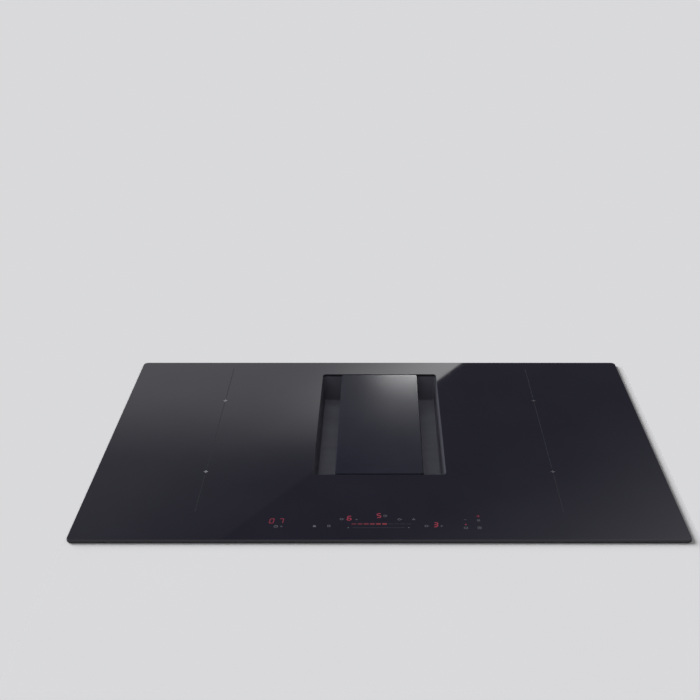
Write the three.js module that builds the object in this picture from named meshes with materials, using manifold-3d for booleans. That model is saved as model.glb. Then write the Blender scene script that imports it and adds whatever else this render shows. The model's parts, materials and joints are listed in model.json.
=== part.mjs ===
// Downdraft induction cooktop: a black glass hob with four zones, and an extractor that draws
// the air down through two slots beside a lift-out cover in the middle of the glass.
// Millimetres. +X to the right, +Y to the back, +Z up. The origin is on the underside of the
// blower, below the centre of the glass.
import * as THREE from "three";
import { mergeVertices } from "three/addons/utils/BufferGeometryUtils.js";
import Module from "manifold-3d";

const wasm = await Module();
wasm.setup();

// ---- Driving dimensions -----------------------------------------------------------------

// Clearance between two pieces that sit on each other, and between pieces that only pass.
const seatGap = 0.3;
const runGap = 1.5;

// Glass, and the rectangular opening in it.
const glassWidth = 830;
const glassDepth = 515;
const glassThick = 4;
const glassCorner = 7;
const glassBevel = 1.6;
const openingWidth = 193.6;
const openingDepth = 312;
const openingCorner = 5;
const openingBackMargin = 44.5;

// Foam seal between the glass and the worktop.
const sealThick = 1.6;
const sealWidth = 9;
const sealInset = 3;

// Cover that closes the middle of the opening and leaves a slot on each side.
const coverWidth = 129.6;
const coverEndGap = 1.2;
const coverBevel = 0.8;
const carrierHeight = 5.6;
const carrierInset = 6;
const carrierRim = 12;
const pegRadius = 4;
const pegLength = 5;

// Basin under the opening: drafted walls, a ledge that falls inwards, a seat and a throat.
const slotDepth = 51.5;
const basinWall = 2.4;
const basinFlange = 12;
const basinSetback = 1;
const basinDraft = 1.3;
const ledgeFall = 2.6;
const throatWidth = 114;
const throatEndInset = 18;
const throatCorner = 10;
const seatLip = 7;
const neckDrop = 22;

// Grease filter cassette that stands in the throat.
const cassetteWall = 2;
const cassetteSkirt = 24;
const cassetteLip = 4.5;
const windowPost = 8;
const windowSill = 4;
const windowRows = 3;
const meshThick = 1.2;
const meshHoles = 11;
const meshRows = 2;
const meshBar = 2.4;

// Sheet-metal casing that holds the induction parts: a frame on a floor.
const casingInsetX = 17;
const casingInsetY = 15.5;
const casingSheet = 1.2;
const casingCorner = 9;
const casingFlange = 6;
const casingLip = 9;
const ventCount = 7;
const ventHeight = 4;
const ventBar = 14;
const ventEndMargin = 60;
const legRadius = 3.5;
const legInset = 7;

// Blower: a scroll with a drum impeller, drawn from the impeller's centre.
const blowerOffset = -17;
const impellerRadius = 100;
const impellerHeight = 78;
const impellerLift = 26;
const impellerPlate = 2;
const impellerRim = 5;
const bladeCount = 26;
const bladeChord = 18;
const bladeThick = 1.6;
const bladeSweep = 0.14;
const hubWall = 6;
const hubHeight = 14;
const scrollClearance = 12;
const scrollGrowth = 73;
const tongueAngle = 80;
const tongueRadius = 2;
const scrollHeight = 115;
const scrollWall = 2.5;
const scrollFloor = 3;
const lidPlate = 3;
const eyeRadius = 71;
const eyeDrop = 6;
const eyeFlare = 6;
const eyeUpstand = 18;
const eyeWall = 2;
const eyeFlange = 5;
const flareSteps = 3;
const bellSides = 30;
const bossRadius = 5.5;
const bossCount = 6;
const bossStep = 45;
const bossLead = 30;

// Plenum between the scroll's lid and the casing, with a spout for what drips into it.
const plenumHeight = 40;
const plenumMargin = 27;
const plenumWall = 2.5;
const spoutWidth = 26;
const spoutHeight = 14;
const spoutWall = 2;
const spoutMouth = 12;

// Motor, on a three-armed bracket in rubber bushes.
const motorRadius = 40;
const motorHeight = 40;
const motorFootInset = 8;
const motorEdge = 3;
const shaftRadius = 4;
const bracketThick = 3;
const bracketReach = 74;
const bracketPad = 3;
const bushRadius = 9;
const bushNeck = 4.5;
const bushHeight = 14;
const bushPin = 3;
const bossHeight = 5;

// Rectangular air outlet at the back.
const outletWidth = 222;
const outletHeight = 89;
const outletCorner = 4;
const outletWall = 2.5;
const outletFlange = 7;
const outletLength = 27;
const outletBead = 1.5;
const outletSill = 14;
const scrollBackMargin = 34;

// Drip tank in front of the scroll, on two rails.
const tankWidth = 260;
const tankDepth = 98;
const tankHeight = 52;
const tankWall = 2.2;
const tankRim = 9;
const tankDraft = 6;
const tankCorner = 12;
const tankGap = 14.5;
const tankHang = 47;
const tankPullWidth = 90;
const tankPullHeight = 15;
const railSheet = 1.5;
const railFoot = 8;

// Cooking zones, two on each side.
const coilEye = 20;
const coilThick = 5;
const coilGap = 6;
const coilGapDepth = 2;
const coilBaseMargin = 3;
const coilBaseThick = 2;
const zoneGap = 15;
const ferriteCount = 6;
const ferriteWidth = 13;
const ferriteThick = 4;
const ferriteEndGap = 5;
const sensorRadius = 6;
const sensorLip = 4;
const micaThick = 0.6;
const coilPlateThick = 1.5;
const bayInnerMargin = 7;
const bayOuterMargin = 4;
const bayFrontMargin = 4;
const bayBackMargin = 21;
const bayCorner = 8;

// Electronics.
const boardThick = 1.6;
const boardLift = 6;
const boardCorner = 3;
const boardGap = 36.5;
const powerBoardWidth = 150;
const sinkWidth = 72;
const sinkEndMargin = 12.5;
const sinkFins = 10;
const sinkFin = 2;
const sinkBase = 4;
const sinkStep = 2;
const capRadius = 13;
const capHeight = 24;
const relayWidth = 16;
const relayLength = 30;
const relayHeight = 17;
const partGap = 9;
const fanSize = 92;
const fanHeight = 30;
const fanWall = 1.6;
const fanCorner = 14;
const fanRotorRadius = 35;
const fanTip = 4;
const fanInletRadius = 26;
const fanHub = 14;
const fanHubDrop = 6;
const fanSpindle = 2.5;
const fanSpindleLength = 18;
const fanBlades = 9;
const fanOutletWidth = 46;
const fanFrontMargin = 42.5;
const grilleBar = 6;
const smallBoardWidth = 120;
const smallBoardDepth = 62;
const smallBoardMargin = 27.5;
const chokeRadius = 11;
const chokeHeight = 18;
const terminalWidth = 60;
const terminalDepth = 22;
const terminalHeight = 20;
const terminalWays = 5;
const terminalBar = 4;
const terminalSill = 6;
const glandShift = 30;
const glandBore = 5.5;
const glandRadius = 9;
const glandHead = 12;
const glandTaper = 2;
const glandReach = 11;
const glandTail = 12;

// Touch control, behind the front edge of the glass. The displays stand at displayPlaces.
const controlWidth = 300;
const controlDepth = 42;
const controlFrontMargin = 23.5;
const trayHeight = 6;
const trayWall = 2;
const trayRibs = 4;
const controlDrop = 4.2;
const displayWidth = 22;
const displayDepth = 12;
const displayPlaces = [-139, -41, -1, 76];
const sliderWidth = 98;
const sliderDepth = 8;

// Spring clips that hold the hob in the worktop cut-out.
const clipWidth = 22;
const clipSheet = 1;
const clipBow = 2.8;
const clipHeight = 30;
const clipDrop = 8;
const clipEndMargin = 78.5;

// How far a cutting shape runs past the face it cuts, and a joined one into its neighbour.
const overrun = 1;

// ---- Levels and places worked out from them ----------------------------------------------

const openingY = glassDepth / 2 - openingBackMargin - openingDepth / 2;
const blowerY = openingY + blowerOffset;
const casingWidth = glassWidth - 2 * casingInsetX;
const casingDepth = glassDepth - 2 * casingInsetY;
const casingBack = casingDepth / 2;

const scrollTop = scrollFloor + scrollHeight;
const lidUnder = scrollTop + seatGap;
const lidTop = lidUnder + lidPlate;
const plenumUnder = lidTop + seatGap;
const plenumFloor = plenumUnder + plenumWall;
const plenumTop = plenumUnder + plenumHeight;
const casingUnder = plenumTop + seatGap;
const casingFloor = casingUnder + casingSheet;
const basinUnder = casingFloor + seatGap;
const seatTop = basinUnder + basinWall;
const ledgeTop = seatTop + ledgeFall;
const glassTop = ledgeTop + slotDepth;
const glassUnder = glassTop - glassThick;
const rimTop = glassUnder - seatGap;

const basinHalf = openingWidth / 2 + basinSetback + basinWall;
const throatDepth = openingDepth - 2 * throatEndInset;
const coverDepth = openingDepth - 2 * coverEndGap;
const carrierUnder = rimTop - carrierHeight;
const cassetteTop = carrierUnder - seatGap;
const cassetteUnder = seatTop - cassetteSkirt;
const cassetteWidth = throatWidth - 2 * runGap;
const cassetteDepth = throatDepth - 2 * runGap;
const cassetteCorner = throatCorner - runGap;
const lipUnder = seatTop + seatGap;
const lipTop = lipUnder + cassetteWall;
const cageUnder = lipTop + seatGap;

const controlY = controlFrontMargin - glassDepth / 2 + controlDepth / 2;
const controlTop = glassUnder - controlDrop;
const trayTop = controlTop - boardThick - seatGap;
const trayUnder = trayTop - trayHeight;

const bayInner = basinHalf + basinFlange + bayInnerMargin;
const bayOuter = casingWidth / 2 - casingFlange - bayOuterMargin;
const bayFront = controlY + controlDepth / 2 + bayFrontMargin;
const bayBack = casingBack - casingFlange - bayBackMargin;
const bayX = (bayInner + bayOuter) / 2;
const bayY = (bayFront + bayBack) / 2;
const bayWidth = bayOuter - bayInner;
const bayDepth = bayBack - bayFront;
const coilBaseRadius = (bayDepth - zoneGap) / 4;
const coilRadius = coilBaseRadius - coilBaseMargin;
const zoneFrontY = bayFront + coilBaseRadius;
const zoneBackY = bayBack - coilBaseRadius;

const micaTop = rimTop;
const micaUnder = micaTop - micaThick;
const coilTop = micaUnder - seatGap;
const coilUnder = coilTop - coilThick;
const coilBaseTop = coilUnder - seatGap;
const ferriteUnder = coilBaseTop - coilBaseThick - ferriteThick;
const coilPlateTop = ferriteUnder - seatGap;
const coilPlateUnder = coilPlateTop - coilPlateThick;

const boardUnder = casingFloor + boardLift;
const boardTop = boardUnder + boardThick;
const boardMiddle = boardUnder + boardThick / 2;
const fanY = fanFrontMargin + fanSize / 2 - casingBack;
const smallBoardY = casingBack - smallBoardMargin - smallBoardDepth / 2;
const powerBoardFront = fanY + fanSize / 2 + boardGap;
const powerBoardBack = smallBoardY - smallBoardDepth / 2 - boardGap;
const powerBoardY = (powerBoardFront + powerBoardBack) / 2;
const powerBoardDepth = powerBoardBack - powerBoardFront;
const glandX = bayX + glandShift;
const glandLevel = boardTop + terminalHeight / 2 + terminalBar;

const impellerUnder = scrollFloor + impellerLift;
const bracketUnder = scrollFloor + bossHeight + seatGap + (bushHeight - bracketThick) / 2;
const bracketTop = bracketUnder + bracketThick;
const motorUnder = bracketTop + seatGap;
const motorTop = motorUnder + motorHeight;

const scrollStart = impellerRadius + scrollClearance;
const scrollEnd = scrollStart + scrollGrowth;
const scrollBackY = glassDepth / 2 - scrollBackMargin;
const outletX = scrollEnd - outletWidth / 2;
const tankBack = blowerY - scrollRadius(270) - scrollWall - bossRadius - tankGap;
const tankY = tankBack - tankDepth / 2;
const tankRimTop = casingUnder - tankHang;

// ---- Materials ---------------------------------------------------------------------------

const finish = (color, roughness, metalness = 0) =>
  new THREE.MeshStandardMaterial({ color, roughness, metalness });
const blackGlass = finish(0x121117, 0.06);
const satinGlass = finish(0x17161b, 0.3);
const foam = finish(0x2a2a2c, 0.95);
const blackMoulding = finish(0x1c1c20, 0.45);
const greyMoulding = finish(0x46484c, 0.6);
const galvanised = finish(0xaeb2b5, 0.42, 0.9);
const stainless = finish(0xb9bbbd, 0.3, 1);
const aluminium = finish(0xc6c8ca, 0.4, 1);
const copper = finish(0xa65c33, 0.4, 0.9);
const mica = finish(0xcfc6b2, 0.7);
const ferrite = finish(0x3a3a3d, 0.7);
const circuit = finish(0x1f5f38, 0.55);
const rubber = finish(0x1a1a1a, 0.9);
const white = finish(0xdedede, 0.5);

// ---- Geometry tools ----------------------------------------------------------------------

const cornerSteps = 3;

/** A closed three.js geometry as a manifold solid; a solid passes through. */
function solid(shape) {
  if (!shape.isBufferGeometry) return shape;
  const loose = shape.index ? shape.toNonIndexed() : shape;
  const bare = new THREE.BufferGeometry();
  bare.setAttribute("position", loose.getAttribute("position"));
  const merged = mergeVertices(bare, 1e-4);
  const vertProperties = merged.getAttribute("position").array;
  const triVerts = new Uint32Array(merged.index.array);
  return new wasm.Manifold(new wasm.Mesh({ numProp: 3, vertProperties, triVerts }));
}

const join = (...shapes) => shapes.map(solid).reduce((all, next) => all.add(next));
const cut = (body, ...tools) => tools.map(solid).reduce((left, tool) => left.subtract(tool), solid(body));

/** A manifold solid as a three.js geometry with flat shading. */
function geometryOf(body) {
  const { numVert, numProp, vertProperties, triVerts } = body.getMesh();
  const position = new Float32Array(numVert * 3);
  for (let i = 0; i < numVert; i++) {
    position.set(vertProperties.subarray(i * numProp, i * numProp + 3), i * 3);
  }
  const indexed = new THREE.BufferGeometry();
  indexed.setAttribute("position", new THREE.BufferAttribute(position, 3));
  indexed.setIndex(new THREE.BufferAttribute(triVerts, 1));
  const flat = indexed.toNonIndexed();
  flat.computeVertexNormals();
  return flat;
}

/** A named mesh of one piece. */
function piece(name, shape, material) {
  const mesh = new THREE.Mesh(geometryOf(solid(shape)), material);
  mesh.name = name;
  return mesh;
}

/** Points of a rounded rectangle, counter-clockwise, always as many for the same steps. */
function roundedRect(width, depth, radius, x = 0, y = 0, steps = cornerSteps) {
  const points = [];
  [[1, 1], [-1, 1], [-1, -1], [1, -1]].forEach(([sideX, sideY], corner) => {
    const centreX = x + sideX * (width / 2 - radius);
    const centreY = y + sideY * (depth / 2 - radius);
    points.push(...arc(centreX, centreY, radius, corner * 90, corner * 90 + 90, steps));
  });
  return points;
}

/** Points of an arc, in degrees. */
function arc(x, y, radius, from, to, steps) {
  return Array.from({ length: steps + 1 }, (_, i) => {
    const angle = THREE.MathUtils.degToRad(from + ((to - from) * i) / steps);
    return new THREE.Vector2(x + radius * Math.cos(angle), y + radius * Math.sin(angle));
  });
}

/** An outline, counter-clockwise, with every side moved out by the same amount. */
function grown(points, amount) {
  return points.map((point, i) => {
    const before = points.at(i - 1);
    const after = points[(i + 1) % points.length];
    const first = point.clone().sub(before).normalize();
    const second = after.clone().sub(point).normalize();
    const out = new THREE.Vector2(first.y + second.y, -first.x - second.x);
    return point.clone().addScaledVector(out, amount / (1 + first.dot(second)));
  });
}

/** An outline pushed straight up from one level to another, with any holes. */
function prism(points, low, high, holes = []) {
  const shape = new THREE.Shape(points);
  for (const hole of holes) shape.holes.push(new THREE.Path(hole));
  const depth = high - low;
  return new THREE.ExtrudeGeometry(shape, { depth, bevelEnabled: false }).translate(0, 0, low);
}

/** An (x, z) outline pushed along Y. */
function prismY(points, low, high) {
  return prism(points, -high, -low).rotateX(Math.PI / 2);
}

/** An upright block between two corners. */
function block(x0, y0, z0, x1, y1, z1) {
  const box = new THREE.BoxGeometry(x1 - x0, y1 - y0, z1 - z0);
  return box.translate((x0 + x1) / 2, (y0 + y1) / 2, (z0 + z1) / 2);
}

/** An upright cylinder. */
function post(x, y, radius, low, high, sides = 24) {
  const cylinder = new THREE.CylinderGeometry(radius, radius, high - low, sides);
  return cylinder.rotateX(Math.PI / 2).translate(x, y, (low + high) / 2);
}

/** A profile of [radius, z] points turned about Z; it starts and ends on the axis, or closes. */
function turned(profile, sides = 32) {
  const points = profile.map(([radius, z]) => new THREE.Vector2(radius, z));
  return new THREE.LatheGeometry(points, sides).rotateX(Math.PI / 2);
}

/** A skin through outlines of equal length at rising levels, closed by flat ends. */
function loft(rings) {
  const size = rings[0].points.length;
  const positions = rings.flatMap(({ points, z }) => points.flatMap((p) => [p.x, p.y, z]));
  const index = [];
  for (let ring = 0; ring + 1 < rings.length; ring++) {
    for (let i = 0; i < size; i++) {
      const a = ring * size + i;
      const b = ring * size + ((i + 1) % size);
      index.push(a, b, b + size, a, b + size, a + size);
    }
  }
  const top = (rings.length - 1) * size;
  for (const [a, b, c] of THREE.ShapeUtils.triangulateShape(rings[0].points, [])) index.push(a, c, b);
  for (const [a, b, c] of THREE.ShapeUtils.triangulateShape(rings.at(-1).points, [])) {
    index.push(top + a, top + b, top + c);
  }
  const geometry = new THREE.BufferGeometry();
  geometry.setAttribute("position", new THREE.Float32BufferAttribute(positions, 3));
  return geometry.setIndex(index);
}

/** A rounded slab whose upper edge is bevelled. */
function bevelledSlab(width, depth, corner, low, high, bevel, y = 0) {
  return loft([
    { points: roundedRect(width, depth, corner, 0, y), z: low },
    { points: roundedRect(width, depth, corner, 0, y), z: high - bevel },
    { points: roundedRect(width - 2 * bevel, depth - 2 * bevel, corner - bevel / 2, 0, y), z: high },
  ]);
}

// ---- Glass, seal and cover ---------------------------------------------------------------

function glassTopPlate() {
  const slab = bevelledSlab(glassWidth, glassDepth, glassCorner, glassUnder, glassTop, glassBevel);
  const edge = glassTop - glassBevel;
  const wide = 2 * glassBevel;
  const ring = (grow, z) => ({
    points: roundedRect(openingWidth + 2 * grow, openingDepth + 2 * grow, openingCorner + grow, 0, openingY),
    z,
  });
  const opening = loft([ring(0, glassUnder - overrun), ring(0, edge), ring(wide, edge + wide)]);
  return piece("glass_top", cut(slab, opening), blackGlass);
}

function worktopSeal() {
  const width = glassWidth - 2 * sealInset;
  const depth = glassDepth - 2 * sealInset;
  const corner = glassCorner - sealInset;
  const inner = roundedRect(width - 2 * sealWidth, depth - 2 * sealWidth, corner);
  const ring = prism(roundedRect(width, depth, corner), rimTop - sealThick, rimTop, [inner]);
  return piece("worktop_seal", ring, foam);
}

const pegSides = 8;
const pegPlaces = [-1, 1].flatMap((side) =>
  [-1, 1].map((end) => [
    side * (cassetteWidth / 2 - cassetteWall - 2 * pegRadius),
    openingY + end * (cassetteDepth / 2 - cassetteWall - 2 * pegRadius),
  ]),
);

function cover() {
  const corner = openingCorner - coverEndGap;
  const glass = bevelledSlab(coverWidth, coverDepth, corner, glassUnder, glassTop, coverBevel, openingY);
  const width = coverWidth - 2 * carrierInset;
  const depth = coverDepth - 2 * carrierInset;
  const inner = roundedRect(width - 2 * carrierRim, depth - 2 * carrierRim, openingCorner, 0, openingY);
  const frame = prism(roundedRect(width, depth, openingCorner, 0, openingY), carrierUnder, rimTop, [inner]);
  const spineHalf = depth / 2 - overrun;
  const spine = block(
    -carrierRim / 2, openingY - spineHalf, carrierUnder, carrierRim / 2, openingY + spineHalf, rimTop,
  );
  const pegs = pegPlaces.map(([x, y]) =>
    post(x, y, pegRadius, carrierUnder - pegLength, carrierUnder + overrun, pegSides),
  );
  return [
    piece("cover_panel", glass, satinGlass),
    piece("cover_carrier", join(frame, spine, ...pegs), blackMoulding),
  ];
}

// ---- Basin and filter cassette -----------------------------------------------------------

/** The basin's rings, from the top down to the end of the neck, moved out by a wall. */
function basinRings(wall, drop) {
  const width = openingWidth + 2 * basinSetback + 2 * wall;
  const depth = openingDepth + 2 * basinSetback + 2 * wall;
  const seatWidth = throatWidth + 2 * seatLip;
  const seatDepth = throatDepth + 2 * seatLip;
  const neckEnd = basinUnder - neckDrop;
  const ring = (w, d, radius, z) => ({ points: roundedRect(w, d, radius, 0, openingY), z });
  return [
    ring(throatWidth + 2 * wall, throatDepth + 2 * wall, throatCorner + wall, neckEnd - (wall ? 0 : overrun)),
    ring(throatWidth + 2 * wall, throatDepth + 2 * wall, throatCorner + wall, seatTop - drop),
    ring(seatWidth + 2 * wall, seatDepth + 2 * wall, throatCorner + wall, seatTop - drop),
    ring(width - 2 * basinDraft, depth - 2 * basinDraft, openingCorner + wall, ledgeTop - drop),
    ring(width, depth, openingCorner + basinSetback + wall, rimTop + (wall ? 0 : overrun)),
  ];
}

function basin() {
  const flangeWidth = 2 * (basinHalf + basinFlange);
  const flangeDepth = openingDepth + 2 * (basinSetback + basinWall + basinFlange);
  const flangeOutline = roundedRect(flangeWidth, flangeDepth, openingCorner + basinFlange, 0, openingY);
  const flange = prism(flangeOutline, rimTop - basinWall, rimTop);
  const body = join(loft(basinRings(basinWall, basinWall)), flange);
  return piece("inlet_basin", cut(body, loft(basinRings(0, 0))), blackMoulding);
}

/** Window frames along one side wall of the cassette: [centre y, depth]. */
function windows() {
  const clear = cassetteDepth - 2 * cassetteCorner - 2 * windowPost;
  const depth = (clear - (windowRows - 1) * windowPost) / windowRows;
  return Array.from({ length: windowRows }, (_, i) => [
    openingY - clear / 2 + depth / 2 + i * (depth + windowPost),
    depth,
  ]);
}

const cassetteOutline = (grow) =>
  roundedRect(cassetteWidth + grow, cassetteDepth + grow, cassetteCorner, 0, openingY);

/** Base of the cassette: a skirt in the throat, with a lip that rests on the basin's seat. */
function cassetteBase() {
  const skirt = prism(cassetteOutline(0), cassetteUnder, lipTop);
  const lip = prism(cassetteOutline(2 * (runGap + cassetteLip)), lipUnder, lipTop);
  const inside = prism(cassetteOutline(-2 * cassetteWall), cassetteUnder - overrun, lipTop + overrun);
  return piece("filter_base", cut(join(skirt, lip), inside), blackMoulding);
}

/** Cage of the cassette: window posts on the base, under a closed top that carries the cover. */
function cassetteFrame() {
  const shell = prism(cassetteOutline(0), cageUnder, cassetteTop);
  const inside = prism(cassetteOutline(-2 * cassetteWall), cageUnder - overrun, cassetteTop - cassetteWall);
  const low = cageUnder + windowSill;
  const high = cassetteTop - cassetteWall - windowSill;
  const openings = windows().map(([y, depth]) =>
    block(-cassetteWidth, y - depth / 2, low, cassetteWidth, y + depth / 2, high),
  );
  const pegHoles = pegPlaces.map(([x, y]) =>
    post(x, y, pegRadius + runGap / 2, cassetteTop - pegLength, cassetteTop + overrun, pegSides),
  );
  return piece("filter_frame", cut(shell, inside, ...openings, ...pegHoles), stainless);
}

/** One perforated grease mesh, behind the windows of one side. */
function filterMesh(name, side) {
  const x = side * (cassetteWidth / 2 - cassetteWall - seatGap - meshThick / 2);
  const half = cassetteDepth / 2 - cassetteWall - cassetteCorner;
  const low = cageUnder;
  const high = cassetteTop - cassetteWall - seatGap;
  const sheet = block(x - meshThick / 2, openingY - half, low, x + meshThick / 2, openingY + half, high);
  const pitchY = (2 * half) / meshHoles;
  const pitchZ = (high - low) / meshRows;
  const halfY = (pitchY - meshBar) / 2;
  const halfZ = (pitchZ - meshBar) / 2;
  const holes = [];
  for (let i = 0; i < meshHoles; i++) {
    for (let row = 0; row < meshRows; row++) {
      const y = openingY - half + (i + 0.5) * pitchY;
      const z = low + (row + 0.5) * pitchZ;
      holes.push(block(x - meshThick, y - halfY, z - halfZ, x + meshThick, y + halfY, z + halfZ));
    }
  }
  return piece(name, cut(sheet, ...holes), stainless);
}

// ---- Casing ------------------------------------------------------------------------------

/** Four square legs that carry a board or plate from the casing floor, up into its underside. */
function legs(x, y, width, depth, top) {
  const low = casingFloor + seatGap;
  return [-1, 1].flatMap((a) =>
    [-1, 1].map((b) =>
      post(x + a * (width / 2 - legInset), y + b * (depth / 2 - legInset), legRadius, low, top, 4),
    ),
  );
}

/** Slots of one row of vents, as blocks that cross a side wall at x. */
function sideVents(x) {
  const z = (casingFloor + coilPlateUnder) / 2;
  const pitch = (casingDepth - 2 * ventEndMargin) / ventCount;
  const half = (pitch - ventBar) / 2;
  return Array.from({ length: ventCount }, (_, i) => {
    const y = (i - (ventCount - 1) / 2) * pitch;
    const low = z - ventHeight / 2;
    return block(x - casingFlange, y - half, low, x + casingFlange, y + half, low + ventHeight);
  });
}

/** The round fan intake in the casing floor, as parallel slots. */
function fanGrille(x, y) {
  const pitch = ventHeight + grilleBar;
  const rows = Math.floor(fanInletRadius / pitch);
  return Array.from({ length: 2 * rows + 1 }, (_, i) => {
    const offset = (i - rows) * pitch;
    const half = Math.sqrt(fanInletRadius ** 2 - offset ** 2);
    const low = y + offset - ventHeight / 2;
    return block(x - half, low, casingUnder - overrun, x + half, low + ventHeight, casingFloor + overrun);
  });
}

const casingOutline = (inset) =>
  roundedRect(casingWidth - 2 * inset, casingDepth - 2 * inset, casingCorner - inset / 2);

function casingFloorPlate() {
  const throatHole = roundedRect(
    throatWidth + 2 * (basinWall + runGap),
    throatDepth + 2 * (basinWall + runGap),
    throatCorner + basinWall,
    0,
    openingY,
  );
  const plate = prism(casingOutline(0), casingUnder, casingFloor, [throatHole]);
  const grilles = [-1, 1].flatMap((side) => fanGrille(side * bayX, fanY));
  return piece("casing_floor", cut(plate, ...grilles), galvanised);
}

function casingFrame() {
  const low = casingFloor + seatGap;
  const shell = prism(casingOutline(0), low, rimTop);
  const inside = prism(casingOutline(casingSheet), low + casingSheet, rimTop - casingSheet);
  const mouth = prism(casingOutline(casingFlange), rimTop - 2 * casingSheet, rimTop + overrun);
  const well = prism(casingOutline(casingLip), low - overrun, low + 2 * casingSheet);
  const glandHole = post(0, 0, glandRadius + seatGap, -casingFlange, casingFlange, glandSides)
    .rotateX(Math.PI / 2)
    .translate(glandX, casingBack, glandLevel);
  const vents = [-1, 1].flatMap((side) => sideVents((side * casingWidth) / 2));
  return piece("casing_frame", cut(shell, inside, mouth, well, glandHole, ...vents), galvanised);
}

// ---- Blower ------------------------------------------------------------------------------

/** The scroll's inner radius at an angle in degrees, growing steadily from the tongue. */
function scrollRadius(degrees) {
  const share = (degrees - tongueAngle) / (360 - tongueAngle);
  return impellerRadius + scrollClearance + share * scrollGrowth;
}

/** A point at a polar place about the blower's centre, in degrees. */
function aboutBlower(radius, degrees) {
  const angle = THREE.MathUtils.degToRad(degrees);
  return new THREE.Vector2(radius * Math.cos(angle), blowerY + radius * Math.sin(angle));
}

/** Plan of the air way in the scroll and its diffuser. The air turns counter-clockwise. */
function airWay() {
  const steps = 32;
  const spiral = Array.from({ length: steps + 1 }, (_, i) => {
    const degrees = tongueAngle + (i / steps) * (360 - tongueAngle);
    return aboutBlower(scrollRadius(degrees), degrees);
  });
  const back = [
    new THREE.Vector2(scrollEnd, scrollBackY),
    new THREE.Vector2(scrollEnd - outletWidth, scrollBackY),
  ];
  return [...spiral, ...back];
}

/** Round post in the wedge where the diffuser meets the spiral, tangent to both walls. */
function tonguePost() {
  const outline = airWay();
  const tip = outline[0];
  const alongSpiral = outline[1].clone().sub(tip).normalize();
  const alongDiffuser = outline.at(-1).clone().sub(tip).normalize();
  const halfWedge = Math.acos(alongSpiral.dot(alongDiffuser)) / 2;
  const middle = alongSpiral.add(alongDiffuser).normalize();
  const centre = tip.clone().addScaledVector(middle, tongueRadius / Math.sin(halfWedge));
  return post(centre.x, centre.y, tongueRadius + scrollWall / 2, scrollFloor / 2, scrollTop, 10);
}

/** Screw bosses round the scroll, set on its outside. */
function bossPlaces() {
  const out = scrollWall + bossRadius / 2;
  const places = Array.from({ length: bossCount }, (_, i) => {
    const degrees = tongueAngle + bossLead + i * bossStep;
    return aboutBlower(scrollRadius(degrees) + out, degrees);
  });
  return [...places, new THREE.Vector2(scrollEnd + out, (blowerY + scrollBackY) / 2)];
}

/** Places of the three rubber bushes, and the angles of the bracket's arms. */
const armAngles = [90, 210, 330];
const bushPlaces = armAngles.map((degrees) => aboutBlower(bracketReach, degrees));

/** The window in the back wall that the outlet collar sits on. */
function outletWindow(grow) {
  const middle = outletSill + outletHeight / 2;
  return roundedRect(outletWidth + grow, outletHeight + grow, outletCorner, outletX, middle);
}

function scrollCase() {
  const tub = prism(grown(airWay(), scrollWall), 0, scrollTop);
  const chamber = prism(airWay(), scrollFloor, scrollTop + overrun);
  const window = prismY(outletWindow(-2 * outletWall), scrollBackY - overrun, scrollBackY + 2 * scrollWall);
  const bosses = bossPlaces().map(({ x, y }) => post(x, y, bossRadius, 0, scrollTop, 8));
  const mounts = bushPlaces.flatMap(({ x, y }) => [
    post(x, y, bushRadius, scrollFloor / 2, scrollFloor + bossHeight, 12),
    post(x, y, bushPin, scrollFloor / 2, scrollFloor + bossHeight + bushHeight, 8),
  ]);
  const shell = cut(join(tub, ...bosses), chamber, window);
  return piece("scroll_case", join(shell, tonguePost(), ...mounts), blackMoulding);
}

/** Lid of the scroll, with a round hole for the inlet bell. */
function scrollLid() {
  const plate = prism(grown(airWay(), scrollWall), lidUnder, lidTop);
  const lugs = bossPlaces().map(({ x, y }) => post(x, y, bossRadius, lidUnder, lidTop, 8));
  const eye = eyeRadius + eyeWall + seatGap;
  const hole = post(0, blowerY, eye, lidUnder - overrun, lidTop + overrun, bellSides);
  return piece("scroll_lid", cut(join(plate, ...lugs), hole), blackMoulding);
}

/** Bell mouth that hangs in the lid by its flange and leads the air into the impeller. */
function inletBell() {
  const high = lidTop + seatGap + eyeUpstand;
  const flare = Array.from({ length: flareSteps + 1 }, (_, i) => {
    const angle = (i / flareSteps) * (Math.PI / 2);
    return [eyeRadius + eyeFlare * (1 - Math.cos(angle)), high - eyeFlare + eyeFlare * Math.sin(angle)];
  });
  const flangeUnder = lidTop + seatGap;
  const flangeEdge = eyeRadius + eyeWall + eyeFlange;
  const profile = [
    [eyeRadius, lidUnder - eyeDrop],
    [eyeRadius + eyeWall, lidUnder - eyeDrop],
    [eyeRadius + eyeWall, flangeUnder],
    [flangeEdge, flangeUnder],
    [flangeEdge, flangeUnder + eyeWall],
    [eyeRadius + eyeWall, flangeUnder + eyeWall],
    ...flare.map(([radius, z]) => [radius + eyeWall, z]),
    ...flare.reverse(),
    [eyeRadius, lidUnder - eyeDrop],
  ];
  const bell = piece("inlet_bell", turned(profile, bellSides), greyMoulding);
  bell.position.y = blowerY;
  return bell;
}

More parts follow.
